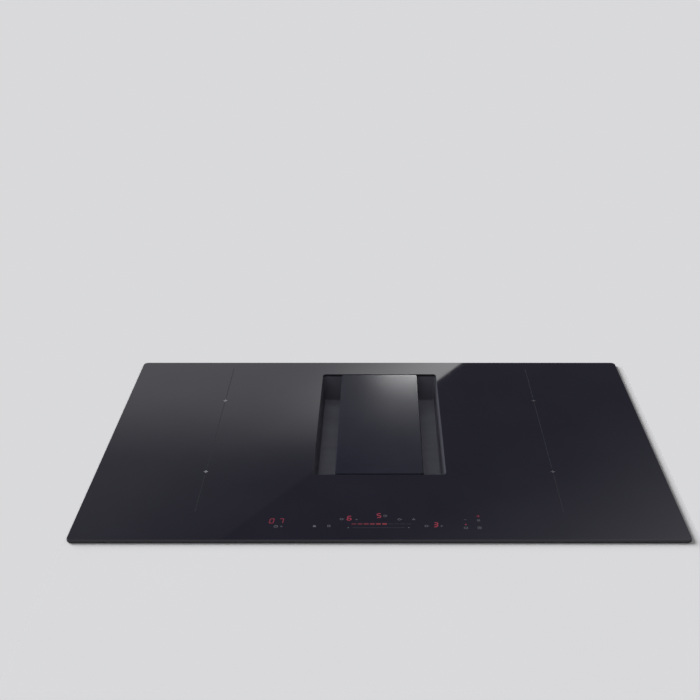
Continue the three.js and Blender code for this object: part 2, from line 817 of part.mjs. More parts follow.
/** Box between the lid and the casing that catches drips and leads them to the spout. */
function plenum() {
  const width = throatWidth + 2 * plenumMargin;
  const depth = throatDepth + 2 * plenumMargin;
  const room = roundedRect(width, depth, throatCorner, 0, openingY);
  const shell = prism(grown(room, plenumWall), plenumUnder, plenumTop);
  const inside = prism(room, plenumFloor, plenumTop + overrun);
  const eyeHole = eyeRadius + eyeWall + eyeFlange + 2 * seatGap;
  const hole = post(0, blowerY, eyeHole, plenumUnder - overrun, plenumFloor + overrun, bellSides);
  const back = openingY - depth / 2 + overrun;
  const front = tankBack - tankRim - spoutMouth - 2 * spoutWall;
  const half = spoutWidth / 2;
  const inner = half - spoutWall;
  const top = plenumUnder + spoutHeight;
  const spout = block(-half, front, plenumUnder, half, back, top);
  const channel = block(
    -inner, front + spoutWall, plenumFloor, inner, back + 2 * plenumWall, top - spoutWall,
  );
  const dropFront = front + spoutWall;
  const dropBack = dropFront + spoutMouth;
  const drop = block(-inner, dropFront, plenumUnder - overrun, inner, dropBack, plenumFloor + overrun);
  return piece("plenum", cut(join(shell, spout), inside, hole, channel, drop), blackMoulding);
}

/** One forward-curved blade as a thin bent strip, at angle 0. */
function bladeOutline() {
  const outer = impellerRadius - bladeThick;
  const inner = outer - bladeChord;
  const steps = 2;
  const line = (side) =>
    Array.from({ length: steps + 1 }, (_, i) => {
      const share = i / steps;
      const radius = inner + share * (outer - inner);
      const sweep = bladeSweep * share ** 2 + (side * bladeThick) / 2 / radius;
      return new THREE.Vector2(radius * Math.cos(sweep), radius * Math.sin(sweep));
    });
  return [...line(-1), ...line(1).reverse()];
}

function impeller() {
  const blades = Array.from({ length: bladeCount }, (_, i) =>
    prism(bladeOutline(), impellerPlate / 2, impellerHeight - impellerRim / 2).rotateZ(
      (2 * Math.PI * i) / bladeCount,
    ),
  );
  const ringInner = impellerRadius - bladeThick - bladeChord - overrun;
  const dome = motorRadius + 2 * runGap;
  const skirt = dome + hubWall;
  const domeUnder = motorTop - impellerUnder + 2 * runGap;
  const domeTop = domeUnder + impellerPlate;
  const plate = turned(
    [
      [0, domeUnder],
      [dome, domeUnder],
      [skirt, 0],
      [impellerRadius, 0],
      [impellerRadius, impellerPlate],
      [skirt + impellerPlate, impellerPlate],
      [dome + impellerPlate, domeTop],
      [0, domeTop],
    ],
    bladeCount,
  );
  const hub = post(0, 0, shaftRadius + hubWall, domeUnder + impellerPlate / 2, domeUnder + hubHeight, 16);
  const bore = post(0, 0, shaftRadius + seatGap, domeUnder - overrun, domeUnder + hubHeight + overrun, 16);
  const rim = turned(
    [
      [ringInner, impellerHeight - impellerRim],
      [impellerRadius, impellerHeight - impellerRim],
      [impellerRadius, impellerHeight],
      [ringInner + impellerRim / 2, impellerHeight],
      [ringInner, impellerHeight - impellerRim],
    ],
    bladeCount,
  );
  const mesh = piece("impeller", cut(join(plate, hub, rim, ...blades), bore), greyMoulding);
  mesh.position.set(0, blowerY, impellerUnder);
  return mesh;
}

function motor() {
  const footRadius = motorRadius - motorFootInset;
  const body = turned(
    [
      [0, motorUnder],
      [footRadius, motorUnder],
      [footRadius, motorUnder + motorEdge],
      [motorRadius, motorUnder + 2 * motorEdge],
      [motorRadius, motorTop - motorEdge],
      [motorRadius - motorEdge, motorTop],
      [0, motorTop],
    ],
    20,
  );
  const bore = post(0, 0, shaftRadius + seatGap, motorUnder - overrun, motorTop + overrun, 16);
  const housing = piece("motor_body", cut(body, bore), aluminium);
  const shaftTop = motorTop + 2 * runGap + hubHeight + runGap;
  const shaft = piece("motor_shaft", post(0, 0, shaftRadius, motorUnder + overrun, shaftTop, 16), stainless);
  housing.position.y = blowerY;
  shaft.position.y = blowerY;
  return [housing, shaft];
}

function motorBracket() {
  const disc = post(0, blowerY, motorRadius - motorEdge, bracketUnder, bracketTop, 18);
  const pad = bushRadius + bracketPad;
  const pads = bushPlaces.map(({ x, y }) => post(x, y, pad, bracketUnder, bracketTop, 12));
  const arms = armAngles.map((degrees) =>
    block(0, -bushRadius, bracketUnder, bracketReach, bushRadius, bracketTop)
      .rotateZ(THREE.MathUtils.degToRad(degrees))
      .translate(0, blowerY, 0),
  );
  const holes = bushPlaces.map(({ x, y }) =>
    post(x, y, bushNeck + 2 * seatGap, bracketUnder - overrun, bracketTop + overrun, 10),
  );
  return piece("motor_bracket", cut(join(disc, ...pads, ...arms), ...holes), galvanised);
}

/** A waisted rubber bush round a pin of the scroll case, with the bracket in its waist. */
function motorBush(name, { x, y }) {
  const low = scrollFloor + bossHeight + seatGap;
  const high = low + bushHeight;
  const bore = bushPin + seatGap;
  const ring = turned(
    [
      [bore, low],
      [bushRadius, low],
      [bushRadius, bracketUnder - seatGap],
      [bushNeck, bracketUnder - seatGap],
      [bushNeck, bracketTop + seatGap],
      [bushRadius, bracketTop + seatGap],
      [bushRadius, high],
      [bore, high],
      [bore, low],
    ],
    10,
  );
  const bush = piece(name, ring, rubber);
  bush.position.set(x, y, 0);
  return bush;
}

function outletCollar() {
  const start = scrollBackY + scrollWall + seatGap;
  const end = start + outletLength;
  const flange = prismY(outletWindow(2 * outletFlange), start, start + outletWall);
  const sleeve = prismY(outletWindow(0), start, end);
  const bead = prismY(outletWindow(2 * outletBead), end - 4 * outletBead, end - 2 * outletBead);
  const way = prismY(outletWindow(-2 * outletWall), start - overrun, end + overrun);
  return piece("outlet_collar", cut(join(flange, sleeve, bead), way), blackMoulding);
}

// ---- Drip tank ---------------------------------------------------------------------------

function dripTank() {
  const low = tankRimTop - tankHeight;
  const ring = (inset, z) => ({
    points: roundedRect(tankWidth - 2 * inset, tankDepth - 2 * inset, tankCorner, 0, tankY),
    z,
  });
  const body = loft([ring(tankRim + tankDraft, low), ring(tankRim, tankRimTop)]);
  const rim = prism(ring(0, 0).points, tankRimTop - tankWall, tankRimTop);
  const room = loft([
    ring(tankRim + tankDraft + tankWall, low + tankWall),
    ring(tankRim + tankWall, tankRimTop + overrun),
  ]);
  const front = tankY - tankDepth / 2;
  const half = tankPullWidth / 2;
  const pullUnder = tankRimTop - tankPullHeight;
  const pull = block(-half, front, pullUnder, half, front + tankWall, tankRimTop - tankWall / 2);
  return piece("drip_tank", cut(join(body, rim, pull), room), greyMoulding);
}

/** A folded rail: a flange on the casing, a web, and a foot under the tank's rim. */
function tankRail(name, side) {
  const footTop = tankRimTop - tankWall - seatGap;
  const top = casingUnder - seatGap;
  const out = (offset) => side * (tankWidth / 2 + runGap + offset);
  const outline = [
    [out(-railFoot), footTop - railSheet],
    [out(railSheet), footTop - railSheet],
    [out(railSheet), top - railSheet],
    [out(railFoot), top - railSheet],
    [out(railFoot), top],
    [out(0), top],
    [out(0), footTop],
    [out(-railFoot), footTop],
  ].map(([x, z]) => new THREE.Vector2(x, z));
  if (side < 0) outline.reverse();
  return piece(name, prismY(outline, tankY - tankDepth / 2, tankY + tankDepth / 2), galvanised);
}

// ---- Cooking zones -----------------------------------------------------------------------

/** The winding of one zone: two flat sections with a gap between them. */
function windingRing() {
  const gapOuter = (coilRadius + coilEye + coilGap) / 2;
  const gapInner = gapOuter - coilGap;
  const gapFloor = coilTop - coilGapDepth;
  return turned(
    [
      [coilEye, coilUnder],
      [coilRadius, coilUnder],
      [coilRadius, coilTop],
      [gapOuter, coilTop],
      [gapOuter, gapFloor],
      [gapInner, gapFloor],
      [gapInner, coilTop],
      [coilEye, coilTop],
      [coilEye, coilUnder],
    ],
    24,
  );
}

/** The moulded disc under a winding, with ferrite bars below it and a hole for the sensor. */
function coilBase() {
  const discUnder = coilBaseTop - coilBaseThick;
  const disc = post(0, 0, coilBaseRadius, discUnder, coilBaseTop, 24);
  const end = coilRadius - ferriteEndGap;
  const half = ferriteWidth / 2;
  const bars = Array.from({ length: ferriteCount }, (_, i) =>
    block(coilEye, -half, ferriteUnder, end, half, discUnder + coilBaseThick / 2).rotateZ(
      (2 * Math.PI * i) / ferriteCount,
    ),
  );
  const eye = post(0, 0, sensorRadius + seatGap, ferriteUnder - overrun, coilBaseTop + overrun, 10);
  return cut(join(disc, ...bars), eye);
}

/** The temperature sensor that stands in a winding's eye, on the moulded disc. */
function sensorPost() {
  const cap = sensorRadius + sensorLip;
  return turned(
    [
      [0, ferriteUnder],
      [sensorRadius, ferriteUnder],
      [sensorRadius, coilUnder],
      [cap, coilUnder],
      [cap, coilTop],
      [0, coilTop],
    ],
    10,
  );
}

function zone(name, x, y) {
  const group = new THREE.Group();
  group.add(
    piece("winding_" + name, windingRing(), copper),
    piece("coil_base_" + name, coilBase(), ferrite),
    piece("sensor_" + name, sensorPost(), white),
  );
  group.position.set(x, y, 0);
  return group;
}

/** The mica sheet over the windings and the aluminium plate under them, on one side. */
function bay(name, side) {
  const outline = roundedRect(bayWidth, bayDepth, bayCorner, side * bayX, bayY);
  const plate = prism(outline, coilPlateUnder, coilPlateTop);
  const posts = legs(side * bayX, bayY, bayWidth, bayDepth, coilPlateUnder + coilPlateThick / 2);
  return [
    piece("mica_sheet_" + name, prism(outline, micaUnder, micaTop), mica),
    piece("coil_plate_" + name, join(plate, ...posts), aluminium),
  ];
}

// ---- Electronics -------------------------------------------------------------------------

/** The power board of one side: capacitors and a choke at its left, relays at its right. */
function powerBoard(name, side) {
  const plate = prism(roundedRect(powerBoardWidth, powerBoardDepth, boardCorner), boardUnder, boardTop);
  const strip = (powerBoardWidth - sinkWidth) / 2;
  const column = (powerBoardWidth - strip) / 2;
  const front = legInset + legRadius + partGap - powerBoardDepth / 2;
  const capPitch = 2 * capRadius + partGap;
  const caps = [0, 1, 2].map((i) =>
    post(-column, front + capRadius + i * capPitch, capRadius, boardMiddle, boardTop + capHeight, 14),
  );
  const relayPitch = relayLength + partGap;
  const relays = [0, 1, 2].map((i) => {
    const low = front + i * relayPitch;
    const left = column - relayWidth / 2;
    return block(left, low, boardMiddle, left + relayWidth, low + relayLength, boardTop + relayHeight);
  });
  const posts = legs(0, 0, powerBoardWidth, powerBoardDepth, boardMiddle);
  const board = piece("power_board_" + name, join(plate, ...caps, ...relays, ...posts), circuit);
  board.position.set(side * bayX, powerBoardY, 0);
  return board;
}

/** Extruded heat sink: a base and upright fins, with the air running along Y. */
function heatSink(name, side) {
  const low = boardTop + seatGap;
  const high = coilPlateUnder - 2 * runGap;
  const floor = low + sinkBase;
  const half = sinkWidth / 2;
  const pitch = (sinkWidth - sinkFin) / (sinkFins - 1);
  const outline = [new THREE.Vector2(-half, low), new THREE.Vector2(half, low)];
  for (let i = sinkFins - 1; i >= 0; i--) {
    const x = -half + i * pitch;
    const crown = high - (i % 2 ? sinkStep : 0);
    if (i < sinkFins - 1) outline.push(new THREE.Vector2(x + sinkFin, floor));
    outline.push(new THREE.Vector2(x + sinkFin, crown), new THREE.Vector2(x, crown));
    if (i > 0) outline.push(new THREE.Vector2(x, floor));
  }
  const reach = powerBoardDepth / 2 - sinkEndMargin;
  const sink = piece("heat_sink_" + name, prismY(outline, -reach, reach), aluminium);
  sink.position.set(side * bayX, powerBoardY, 0);
  return sink;
}

/** Cooling blower of one side: a flat housing with its intake below and its outlet behind. */
function coolingFan(name, side) {
  const low = casingFloor + seatGap;
  const high = low + fanHeight;
  const half = fanSize / 2;
  const chamber = fanRotorRadius + fanTip;
  const box = prism(roundedRect(fanSize, fanSize, fanCorner), low, high);
  const drum = post(0, 0, chamber, low + fanWall, high - fanWall, 20);
  const floor = low + 2 * fanWall;
  const way = block(chamber - fanOutletWidth, 0, floor, chamber, half + overrun, high - 2 * fanWall);
  const inlet = post(0, 0, fanInletRadius, low - overrun, low + fanWall + overrun, 16);
  const spindleLow = high - fanWall - fanSpindleLength;
  const spindle = post(0, 0, fanSpindle, spindleLow, high - fanWall / 2, 8);
  const housing = piece("fan_housing_" + name, join(cut(box, drum, way, inlet), spindle), blackMoulding);
  const rotorLow = low + fanWall + runGap;
  const rotorHigh = high - fanWall - runGap;
  const disc = post(0, 0, fanRotorRadius, rotorHigh - fanWall, rotorHigh, 18);
  const hub = post(0, 0, fanHub, rotorLow + fanHubDrop, rotorHigh, 12);
  const bladeStart = fanHub - 2 * overrun;
  const bladeEnd = fanRotorRadius - overrun / 2;
  const blades = Array.from({ length: fanBlades }, (_, i) =>
    block(bladeStart, -fanWall / 2, rotorLow, bladeEnd, fanWall / 2, rotorHigh - fanWall / 2).rotateZ(
      (2 * Math.PI * i) / fanBlades,
    ),
  );
  const bore = post(0, 0, fanSpindle + seatGap, spindleLow - runGap, rotorHigh + overrun, 8);
  const rotor = piece("fan_rotor_" + name, cut(join(disc, hub, ...blades), bore), greyMoulding);
  const group = new THREE.Group();
  group.add(housing, rotor);
  group.position.set(side * bayX, fanY, 0);
  return group;
}

/** A small board at the back of one side, with two round chokes at its front edge. */
function smallBoard(name, side) {
  const x = side * bayX;
  const outline = roundedRect(smallBoardWidth, smallBoardDepth, boardCorner, x, smallBoardY);
  const plate = prism(outline, boardUnder, boardTop);
  const y = smallBoardY - smallBoardDepth / 2 + chokeRadius + boardCorner;
  const pitch = 2 * chokeRadius + boardCorner;
  const high = boardTop + chokeHeight;
  const chokes = [-1, 0].map((i) => post(x + i * pitch, y, chokeRadius, boardMiddle, high, 14));
  const posts = legs(x, smallBoardY, smallBoardWidth, smallBoardDepth, boardMiddle);
  return piece(name, join(plate, ...chokes, ...posts), circuit);
}

function terminalBlock() {
  const low = boardTop + seatGap;
  const left = bayX - terminalWidth / 2;
  const front = smallBoardY + boardCorner;
  const back = front + terminalDepth;
  const body = block(left, front, low, left + terminalWidth, back, low + terminalHeight);
  const pitch = terminalWidth / terminalWays;
  const ways = Array.from({ length: terminalWays }, (_, i) => {
    const x = left + i * pitch + terminalBar / 2;
    const sill = low + terminalSill;
    const depth = front + 2 * terminalBar;
    return block(x, depth, sill, x + pitch - terminalBar, back + overrun, sill + 2 * terminalBar);
  });
  return piece("terminal_block", cut(body, ...ways), white);
}

const glandSides = 14;

/** The gland that holds the mains cable in the back wall of the casing. */
function cableGland() {
  const profile = [
    [glandBore, -glandTail],
    [glandRadius, -glandTail],
    [glandRadius, seatGap],
    [glandHead, seatGap],
    [glandHead, glandReach / 2],
    [glandHead - glandTaper, glandReach],
    [glandBore, glandReach],
    [glandBore, -glandTail],
  ];
  const gland = turned(profile, glandSides).rotateX(-Math.PI / 2).translate(glandX, casingBack, glandLevel);
  return piece("cable_gland", gland, blackMoulding);
}

/** Touch board with its displays, and the tray that presses it up to the glass. */
function controls() {
  const outline = roundedRect(controlWidth, controlDepth, boardCorner, 0, controlY);
  const board = prism(outline, controlTop - boardThick, controlTop);
  const high = glassUnder - seatGap;
  const base = controlTop - boardThick / 2;
  const front = controlY + trayWall;
  const displays = displayPlaces.map((x) =>
    block(x - displayWidth / 2, front, base, x + displayWidth / 2, front + displayDepth, high),
  );
  const left = displayPlaces[1] + trayWall;
  const sliderBack = controlY - trayWall / 2;
  const slider = block(left, sliderBack - sliderDepth, base, left + sliderWidth, sliderBack, high);
  const room = grown(outline, -trayWall);
  const floor = trayUnder + trayWall;
  const tray = cut(prism(outline, trayUnder, trayTop), prism(room, floor, trayTop + overrun));
  const posts = legs(0, controlY, controlWidth, controlDepth, trayUnder + trayWall / 2);
  const ribPitch = controlWidth / trayRibs;
  const reach = controlDepth / 2 - trayWall / 2;
  const ribUnder = floor - trayWall / 2;
  const ribTop = trayTop - trayWall / 2;
  const ribs = Array.from({ length: trayRibs }, (_, i) => {
    const x = (i - (trayRibs - 1) / 2) * ribPitch - trayWall / 2;
    return block(x, controlY - reach, ribUnder, x + trayWall, controlY + reach, ribTop);
  });
  return [
    piece("touch_board", join(board, ...displays, slider), circuit),
    piece("control_tray", join(tray, ...ribs, ...posts), greyMoulding),
  ];
}

// ---- Spring clips ------------------------------------------------------------------------

/** A leaf that is screwed to the casing wall at its foot and bows out to grip the cut-out. */
function springClip(name, side, y) {
  const wall = casingWidth / 2 + seatGap;
  const top = rimTop - clipDrop;
  const foot = top - clipHeight;
  const curve = new THREE.QuadraticBezierCurve(
    new THREE.Vector2(wall, foot + clipHeight / 3),
    new THREE.Vector2(wall + 2 * clipBow, foot + clipHeight / 2),
    new THREE.Vector2(wall + clipBow / 3, top),
  );
  const inner = [new THREE.Vector2(wall, foot), ...curve.getPoints(8)];
  const outer = inner.map((point) => new THREE.Vector2(point.x + clipSheet, point.y));
  const outline = [...outer, ...inner.reverse()];
  const clip = piece(name, prismY(outline, -clipWidth / 2, clipWidth / 2), stainless);
  if (side < 0) clip.rotation.z = Math.PI;
  clip.position.y = y;
  return clip;
}

// ---- Assembly ----------------------------------------------------------------------------

const cooktop = new THREE.Group();
cooktop.add(
  glassTopPlate(),
  worktopSeal(),
  ...cover(),
  basin(),
  cassetteBase(),
  cassetteFrame(),
  filterMesh("filter_mesh_left", -1),
  filterMesh("filter_mesh_right", 1),
  casingFrame(),
  casingFloorPlate(),
  scrollCase(),
  scrollLid(),
  inletBell(),
  plenum(),
  impeller(),
  ...motor(),
  motorBracket(),
  ...bushPlaces.map((place, i) => motorBush("motor_bush_" + (i + 1), place)),
  outletCollar(),
  dripTank(),
  tankRail("tank_rail_left", -1),
  tankRail("tank_rail_right", 1),
  smallBoard("mains_board", 1),
  smallBoard("blower_board", -1),
  terminalBlock(),
  cableGland(),
  ...controls(),
);
for (const [name, side] of [["left", -1], ["right", 1]]) {
  cooktop.add(
    ...bay(name, side),
    zone("front_" + name, side * bayX, zoneFrontY),
    zone("back_" + name, side * bayX, zoneBackY),
    powerBoard(name, side),
    heatSink(name, side),
    coolingFan(name, side),
    springClip("clip_front_" + name, side, clipEndMargin - casingBack),
    springClip("clip_back_" + name, side, casingBack - clipEndMargin),
  );
}

export default cooktop;
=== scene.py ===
"""Looks of a downdraft induction cooktop, in metres, in the frame of its solids."""

import json
import math

import bmesh
import bpy
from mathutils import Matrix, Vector

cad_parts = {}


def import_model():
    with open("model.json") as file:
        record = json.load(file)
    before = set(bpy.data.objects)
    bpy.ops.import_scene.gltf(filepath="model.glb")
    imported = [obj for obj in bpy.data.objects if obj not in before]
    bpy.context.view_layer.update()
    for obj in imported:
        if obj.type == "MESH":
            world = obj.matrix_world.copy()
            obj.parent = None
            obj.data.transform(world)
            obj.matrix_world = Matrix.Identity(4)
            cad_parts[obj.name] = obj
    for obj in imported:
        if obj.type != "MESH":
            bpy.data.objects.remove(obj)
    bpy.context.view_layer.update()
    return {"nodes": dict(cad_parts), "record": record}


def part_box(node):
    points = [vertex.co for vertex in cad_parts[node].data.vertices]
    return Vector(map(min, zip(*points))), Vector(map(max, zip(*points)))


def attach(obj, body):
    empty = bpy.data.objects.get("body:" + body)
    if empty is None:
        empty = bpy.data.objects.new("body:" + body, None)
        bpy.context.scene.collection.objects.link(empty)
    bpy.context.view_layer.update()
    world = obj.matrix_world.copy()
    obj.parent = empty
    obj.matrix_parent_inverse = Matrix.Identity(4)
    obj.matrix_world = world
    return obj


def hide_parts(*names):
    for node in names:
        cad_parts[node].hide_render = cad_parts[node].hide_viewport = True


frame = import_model()
nodes = frame["nodes"]
body_of = {
    node: body for body, members in frame["record"]["behaviour"]["bodies"].items() for node in members
}
slot_of = {part["node"]: part["material_slot"] for part in frame["record"]["subparts"]}

MM = 0.001

# ---- Places taken from the solids ----------------------------------------------------------

glass_low, glass_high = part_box("glass_top")
cover_low, cover_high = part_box("cover_panel")
basin_low, basin_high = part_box("inlet_basin")
frame_low, frame_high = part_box("casing_frame")
case_low, case_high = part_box("scroll_case")
lid_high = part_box("scroll_lid")[1]
plenum_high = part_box("plenum")[1]
tank_low, tank_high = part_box("drip_tank")
collar_low, collar_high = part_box("outlet_collar")
FLOOR_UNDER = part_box("casing_floor")[0].z

OPENING_CENTRE_Y = (cover_low.y + cover_high.y) / 2
OPENING_WIDTH = 193.6 * MM
OPENING_DEPTH = 312 * MM
OPENING_CORNER = 5 * MM
GLASS_CORNER = 7 * MM
FRONT_BEVEL = 1.6 * MM
OPENING_BEVEL = 0.75 * MM
COVER_BEVEL = 0.8 * MM
COVER_CORNER = 3.8 * MM
ARRIS = 0.5 * MM
PRINT_LIFT = 0.03 * MM
GLASS_FACE = glass_high.z - 2 * PRINT_LIFT
PRINT_LEVEL = GLASS_FACE + PRINT_LIFT
SINK = 0.1 * MM  # how far an added piece reaches into what it stands on

# ---- Colours -------------------------------------------------------------------------------


def srgb(red, green, blue):
    """A display colour from 0 to 255 as the linear colour that shaders take."""
    channels = [c / 255 for c in (red, green, blue)]
    linear = [c / 12.92 if c <= 0.04045 else ((c + 0.055) / 1.055) ** 2.4 for c in channels]
    return (*linear, 1)


def scaled(color, factor):
    """A colour made paler or darker."""
    return (*(c * factor for c in color[:3]), 1)


# ---- Node trees ----------------------------------------------------------------------------

COAT_ROUGHNESS = 0.1
NOISE_ROUGHNESS = 0.55


def feed(socket, value):
    """Set a socket, or link it where the value is another node's output."""
    if isinstance(value, bpy.types.NodeSocket):
        socket.id_data.links.new(value, socket)
    else:
        socket.default_value = value


class Tree:
    """The nodes of a material or a world, with short ways to add to them."""

    def __init__(self, owner):
        owner.use_nodes = True
        self.owner = owner
        self.nodes = owner.node_tree.nodes

    def node(self, kind, **inputs):
        """A new node, with each input that is named in lower case set or linked."""
        made = self.nodes.new("ShaderNode" + kind)
        for name, value in inputs.items():
            feed(made.inputs[name.replace("_", " ").title()], value)
        return made

    def run(self, operation, first, *others):
        """One operation over all its values, from left to right."""
        for other in others:
            made = self.node("Math")
            made.operation = operation
            feed(made.inputs[0], first)
            feed(made.inputs[1], other)
            first = made.outputs[0]
        return first

    def smooth(self, value, low, high, start, end):
        """From start to end as the value goes from low to high, with soft ends."""
        made = self.node(
            "MapRange", value=value, from_min=low, from_max=high, to_min=start, to_max=end
        )
        made.interpolation_type = "SMOOTHSTEP"
        return made.outputs["Result"]

    def mix(self, share, first, second):
        """Two shaders by share, of which the second grows with it."""
        made = self.node("MixShader")
        for socket, value in zip(made.inputs, (share, first.outputs[0], second.outputs[0])):
            feed(socket, value)
        return made.outputs[0]


class Material(Tree):
    """A material with one Principled shader, varied in ways that object coordinates drive."""

    def __init__(self, name, color, roughness, metallic=0, ior=1.5, coat=0, gloss=0.5):
        super().__init__(bpy.data.materials.new(name))
        self.shader = self.nodes["Principled BSDF"]
        for socket, value in (
            ("Base Color", color), ("Roughness", roughness), ("Metallic", metallic), ("IOR", ior),
            ("Coat Weight", coat), ("Coat Roughness", COAT_ROUGHNESS), ("Specular IOR Level", gloss),
        ):
            feed(self.shader.inputs[socket], value)

    def place(self, stretch=(1, 1, 1)):
        """Object coordinates in metres, stretched by a scale along each axis."""
        place = self.node("TexCoord").outputs["Object"]
        return self.node("Mapping", vector=place, scale=stretch).outputs["Vector"]

    def noise(self, scale, detail=3, stretch=(1, 1, 1)):
        """Soft cloudy noise, with about scale blots in a metre."""
        place = self.place(stretch)
        made = self.node(
            "TexNoise", vector=place, scale=scale, detail=detail, roughness=NOISE_ROUGHNESS
        )
        return made.outputs["Fac"]

    def cells(self, scale, stretch=(1, 1, 1)):
        """Crystals or pores, with about scale of them in a metre."""
        return self.node("TexVoronoi", vector=self.place(stretch), scale=scale)

    def channel(self, node, name):
        """One channel of a node's colour, as a factor."""
        return self.node("SeparateColor", color=node.outputs["Color"]).outputs[name]

    def ramp(self, factor, *stops):
        """Colours along a factor: each stop is a place and a colour."""
        made = self.node("ValToRGB", fac=factor)
        elements = made.color_ramp.elements
        while len(elements) < len(stops):
            elements.new(0.5)
        for element, (place, color) in zip(elements, stops):
            element.position = place
            element.color = color
        return made.outputs["Color"]

    def color(self, value):
        """The base colour, as one colour or a node's output."""
        feed(self.shader.inputs["Base Color"], value)

    def tones(self, factor, dark, pale, start=0.3, end=0.7):
        """The base colour, from a dark to a pale tone along a factor."""
        self.color(self.ramp(factor, (start, dark), (end, pale)))

    def roughness(self, factor, low, high):
        """The roughness, from low to high along a factor."""
        made = self.node("MapRange", value=factor, to_min=low, to_max=high)
        feed(self.shader.inputs["Roughness"], made.outputs["Result"])

    def bump(self, height, distance):
        """Relief of a real height in metres. Gives the finished material."""
        made = self.node("Bump", height=height, distance=distance, strength=1)
        feed(self.shader.inputs["Normal"], made.outputs["Normal"])
        return self.owner


# ---- Materials -----------------------------------------------------------------------------

GLASS_DARK = srgb(28, 27, 38)
GLASS_PALE = srgb(31, 30, 41)


def glass_ceramic():
    """Polished black glass-ceramic: near black, faintly cloudy, with wiped streaks in the gloss."""
    made = Material("glass_ceramic", GLASS_DARK, 0.03, ior=1.53)
    made.tones(made.noise(9, 4), GLASS_DARK, GLASS_PALE)
    made.roughness(made.noise(14, 5, stretch=(1, 3, 1)), 0.018, 0.045)
    return made.owner


def ground_edge_glass(name, color):
    """Ground and lightly polished edge of the glass: dull, a little paler than the face."""
    made = Material(name, color, 0.42, ior=1.3)
    marks = made.noise(1200, 2)
    made.tones(marks, scaled(color, 0.85), scaled(color, 1.25))
    return made.bump(marks, 0.003 * MM)


def satin_glass():
    """Etched black glass of the cover, with a fine even grain."""
    made = Material("satin_glass", srgb(33, 34, 43), 0.2, ior=1.52, gloss=0.035)
    made.tones(made.noise(20, 3), srgb(32, 33, 43), srgb(35, 36, 46))
    made.roughness(made.noise(30, 2), 0.15, 0.16)
    return made.bump(made.noise(2600, 1), 0.004 * MM)


def grained_moulding(name, color, roughness, grain=900, gloss=0.5):
    """Injection-moulded plastic with a fine eroded grain and slight flow marks."""
    made = Material(name, color, roughness, ior=1.48, gloss=gloss)
    flow = made.noise(12, 3, stretch=(1, 2.5, 1))
    made.tones(flow, scaled(color, 0.88), scaled(color, 1.12))
    made.roughness(made.noise(60, 3), roughness - 0.05, roughness + 0.06)
    return made.bump(made.noise(grain, 2), 0.03 * MM)


def galvanised_sheet():
    """Hot-dip zinc on sheet steel: crystals of slightly different grey, with a dull bloom."""
    made = Material("galvanised_sheet", srgb(168, 172, 175), 0.42, metallic=0.9)
    crystals = made.channel(made.cells(130), "Red")
    made.tones(crystals, srgb(158, 162, 166), srgb(180, 184, 187), 0, 1)
    made.roughness(crystals, 0.38, 0.48)
    return made.bump(made.noise(420, 3), 0.01 * MM)


def brushed(name, color, roughness, stretch):
    """Metal with fine straight brush lines along one axis."""
    made = Material(name, color, roughness, metallic=1)
    lines = made.noise(900, 2, stretch=stretch)
    made.tones(lines, scaled(color, 0.86), scaled(color, 1.08), 0.25, 0.75)
    made.roughness(lines, roughness - 0.07, roughness + 0.08)
    return made.bump(lines, 0.004 * MM)


def wound_copper():
    """Stranded copper litz, lacquered."""
    made = Material("wound_copper", srgb(186, 106, 62), 0.35, metallic=0.9, coat=0.3)
    strands = made.noise(1400, 2, stretch=(1, 1, 0.3))
    made.tones(strands, srgb(140, 72, 40), srgb(214, 132, 84))
    return made.bump(strands, 0.05 * MM)


def pressed_mica():
    """Pressed mica: pale flakes in a pearly binder."""
    made = Material("pressed_mica", srgb(196, 186, 160), 0.4, coat=0.2)
    flakes = made.channel(made.cells(160, stretch=(1, 1.6, 1)), "Green")
    stops = ((0, srgb(172, 158, 126)), (0.6, srgb(202, 192, 166)), (1, srgb(226, 220, 202)))
    made.color(made.ramp(flakes, *stops))
    made.roughness(flakes, 0.28, 0.55)
    return made.bump(made.noise(300, 3), 0.02 * MM)


def sintered_ferrite():
    """Dark moulded carrier and sintered bars, dusty and slightly sparkling."""
    made = Material("sintered_ferrite", srgb(62, 62, 66), 0.6, metallic=0.2)
    grit = made.noise(1500, 2)
    made.tones(grit, srgb(48, 48, 52), srgb(84, 84, 88), 0.3, 0.75)
    return made.bump(grit, 0.03 * MM)


def solder_mask():
    """Green circuit board: paler copper tracks under the lacquer, laid out in a grid."""
    made = Material("solder_mask", srgb(20, 82, 46), 0.38, coat=0.5)
    tracks = made.node(
        "TexBrick", vector=made.place(), scale=60, color1=srgb(16, 74, 40), color2=srgb(22, 86, 50),
        mortar=srgb(48, 122, 74), mortar_size=0.035,
    )
    made.color(tracks.outputs["Color"])
    return made.bump(tracks.outputs["Fac"], 0.03 * MM)


def soft_rubber(name, color, cell):
    """Rubber or foam with small open cells."""
    made = Material(name, color, 0.85, ior=1.45)
    pores = made.cells(cell).outputs["Distance"]
    made.tones(pores, scaled(color, 0.7), scaled(color, 1.15), 0, 0.5)
    made.roughness(pores, 0.78, 0.95)
    return made.bump(pores, 0.08 * MM)


def lit(name, color, strength):
    """A lit segment seen dimly through the dark glass, slightly uneven along its length."""
    made = Material(name, GLASS_PALE, 0.1)
    level = made.ramp(made.noise(700, 1), (0.2, scaled(color, 0.82)), (0.8, color))
    feed(made.shader.inputs["Emission Color"], level)
    feed(made.shader.inputs["Emission Strength"], strength)
    return made.owner


def screen_print(name, color, roughness=0.35, gloss=0.5):
    """Ceramic ink fired on the glass, rougher than the glass and faintly uneven."""
    made = Material(name, color, roughness, gloss=gloss)
    ink = made.noise(1800, 2)
    made.tones(ink, scaled(color, 0.85), scaled(color, 1.1))
    return made.bump(ink, 0.004 * MM)


